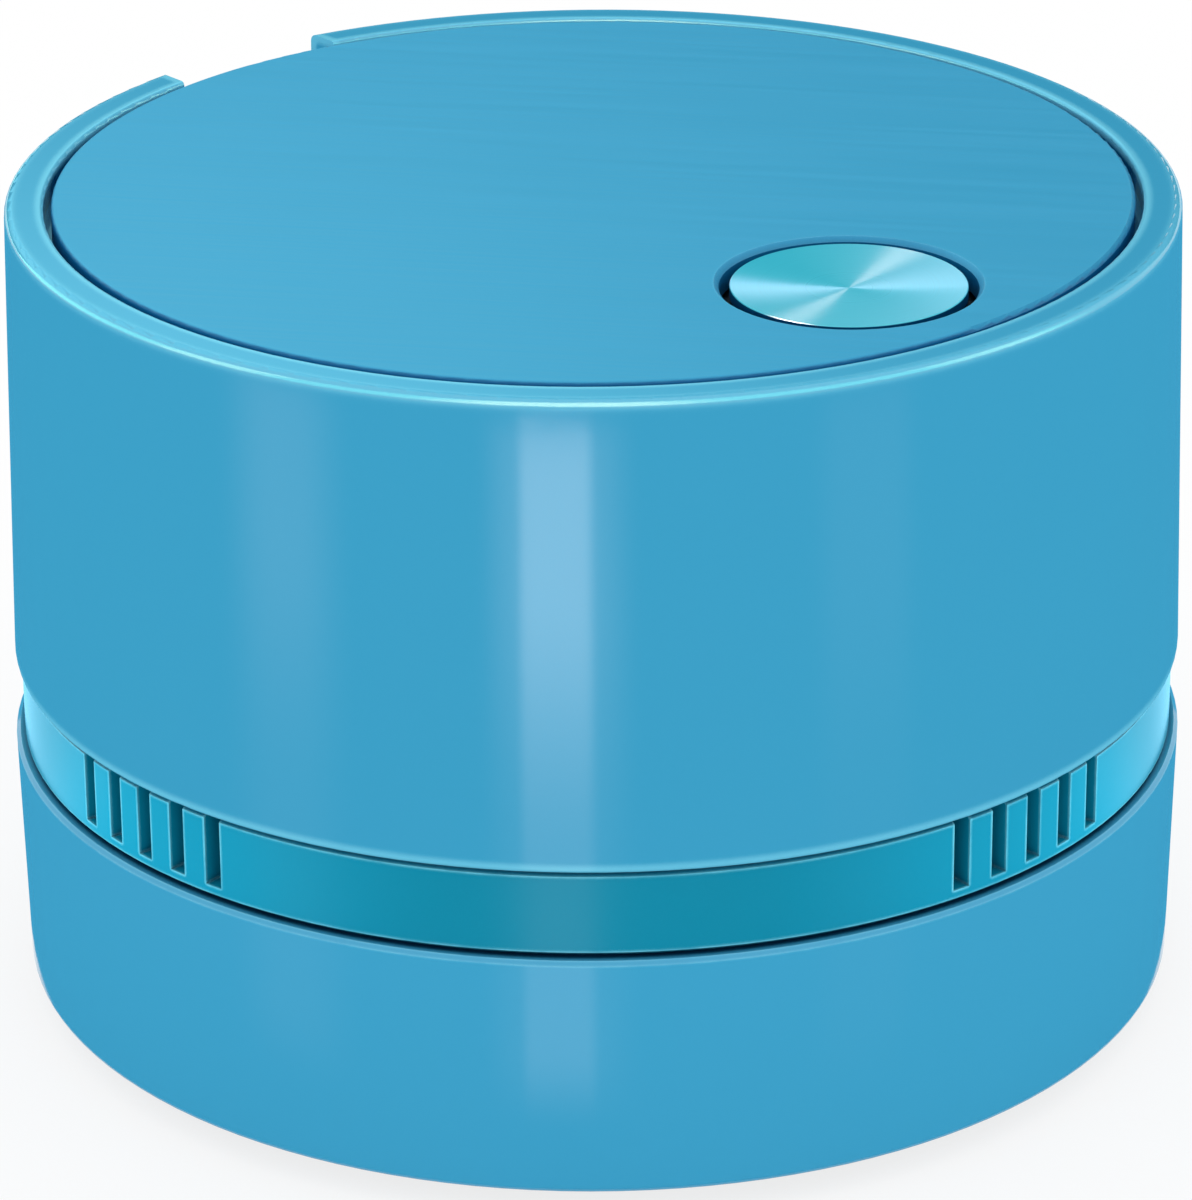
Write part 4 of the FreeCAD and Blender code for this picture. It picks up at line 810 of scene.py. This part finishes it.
mesh_cloth = moulded_plastic("filter_cloth", paint(228, 229, 222), paint(240, 240, 236), 0.85, drift=0.08)
tree = mesh_cloth.node_tree
base = tree.nodes["Principled BSDF"].inputs["Base Color"]
place = wire(tree, "TexCoord").outputs["Object"]
weave = []
for direction in ("X", "Y"):
    weave.append(wire(
        tree, "TexWave", {"Vector": place, "Scale": 330.0}, bands_direction=direction).outputs[1])
threads = calc(tree, "MAXIMUM", *weave)
plain = base.links[0].from_socket
covered = ease(tree, threads, 0.15, 0.6)
tree.links.new(mix_colour(tree, covered, paint(120, 126, 128), plain), base)
emboss(tree, 1e-4, threads)

low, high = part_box("filter_mesh")
mesh_radius = (high.x - low.x) / 2
cloth_thickness = 0.00025
sag = 0.0002
mesh_rings = 12
bm = bmesh.new()
spun(bm, [
    (mesh_radius * step / mesh_rings,
     high.z - cloth_thickness - sag * math.cos(math.pi * step / (2 * mesh_rings)))
    for step in range(mesh_rings + 1)
], steps=96)
disc = link_piece("mesh_disc", bm, mesh_cloth, "filter", "filter_mesh", slot="filter_cloth")
thick = disc.modifiers.new("thickness", "SOLIDIFY")
thick.thickness = cloth_thickness
thick.offset = 0.0


# ---------------------------------------------------------------- base and brushes
# base_plate is screwed under the cup's floor.  It holds two broken rings of black
# nylon bristles, which carry the vacuum and sweep crumbs towards the inlet.

base_blue = moulded_plastic("base_plastic", paint(41, 107, 138), paint(80, 150, 182), 0.45, drift=0.06)
dress(base_blue, "base_plate")

bristle = moulded_plastic(
    "bristle", paint(26, 26, 28), paint(60, 60, 64), 0.38, drift=0.3, edge_radius=0.00003)
brush_rows = 6
bristle_radius = 0.00014
most_lean = 0.03


def brush(name, inner, outer, span, seed):
    """A broken ring of bristles, each leaning a little its own way."""
    random.seed(seed)
    low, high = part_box(name)
    bm = bmesh.new()
    spacing = bristle_radius * 2.5
    rings = round((outer - inner) / spacing)
    for ring in range(rings):
        radius = inner + bristle_radius + (outer - inner - 2 * bristle_radius) * ring / (rings - 1)
        count = round(radius * math.radians(span) / spacing)
        for step in range(count):
            turn = math.radians(span) * (step + 0.5 + random.uniform(-0.3, 0.3)) / count
            length = (high.z - low.z) * random.uniform(0.93, 0.99)
            spot = Vector((radius * math.cos(turn), radius * math.sin(turn), high.z - length / 2))
            lean_x = Matrix.Rotation(random.uniform(-most_lean, most_lean), 4, "X")
            lean_y = Matrix.Rotation(random.uniform(-most_lean, most_lean), 4, "Y")
            bmesh.ops.create_cone(
                bm, cap_ends=True, segments=5, radius1=bristle_radius * 0.6, radius2=bristle_radius,
                depth=length, matrix=Matrix.Translation(spot) @ lean_x @ lean_y)
    first = bm.verts[:] + bm.edges[:] + bm.faces[:]
    for row in range(1, brush_rows):
        copied = bmesh.ops.duplicate(bm, geom=first)["geom"]
        bmesh.ops.rotate(
            bm, cent=(0, 0, 0), matrix=Matrix.Rotation(math.tau * row / brush_rows, 3, "Z"),
            verts=[v for v in copied if isinstance(v, bmesh.types.BMVert)])
    link_piece(name.split("_")[0] + "_bristles", bm, bristle, "cup", name, slot="bristle", sharp=60)


brush("inner_brush", inner=0.0150, outer=0.0174, span=42, seed=3)
brush("outer_brush", inner=0.0334, outer=0.0360, span=46, seed=4)


# -------------------------------------------------------------- screws and wires
# Small zinc-plated cross-head screws, three insulated wires, and a dipped ceramic
# capacitor across the motor's terminals.

dress(zinc, "case_screws", "tray_screws", "base_screws")
lead_red = moulded_plastic("lead_red", paint(176, 38, 34), paint(206, 84, 78), 0.38, drift=0.06)
dress(lead_red, "lead_cell_to_switch", "lead_switch_to_motor")
lead_black = moulded_plastic("lead_black", paint(34, 34, 37), paint(70, 70, 74), 0.38, drift=0.1)
dress(lead_black, "lead_cell_to_motor")
ceramic = moulded_plastic("ceramic", paint(192, 124, 52), paint(214, 152, 84), 0.3, drift=0.08)
dress(ceramic, "noise_capacitor")
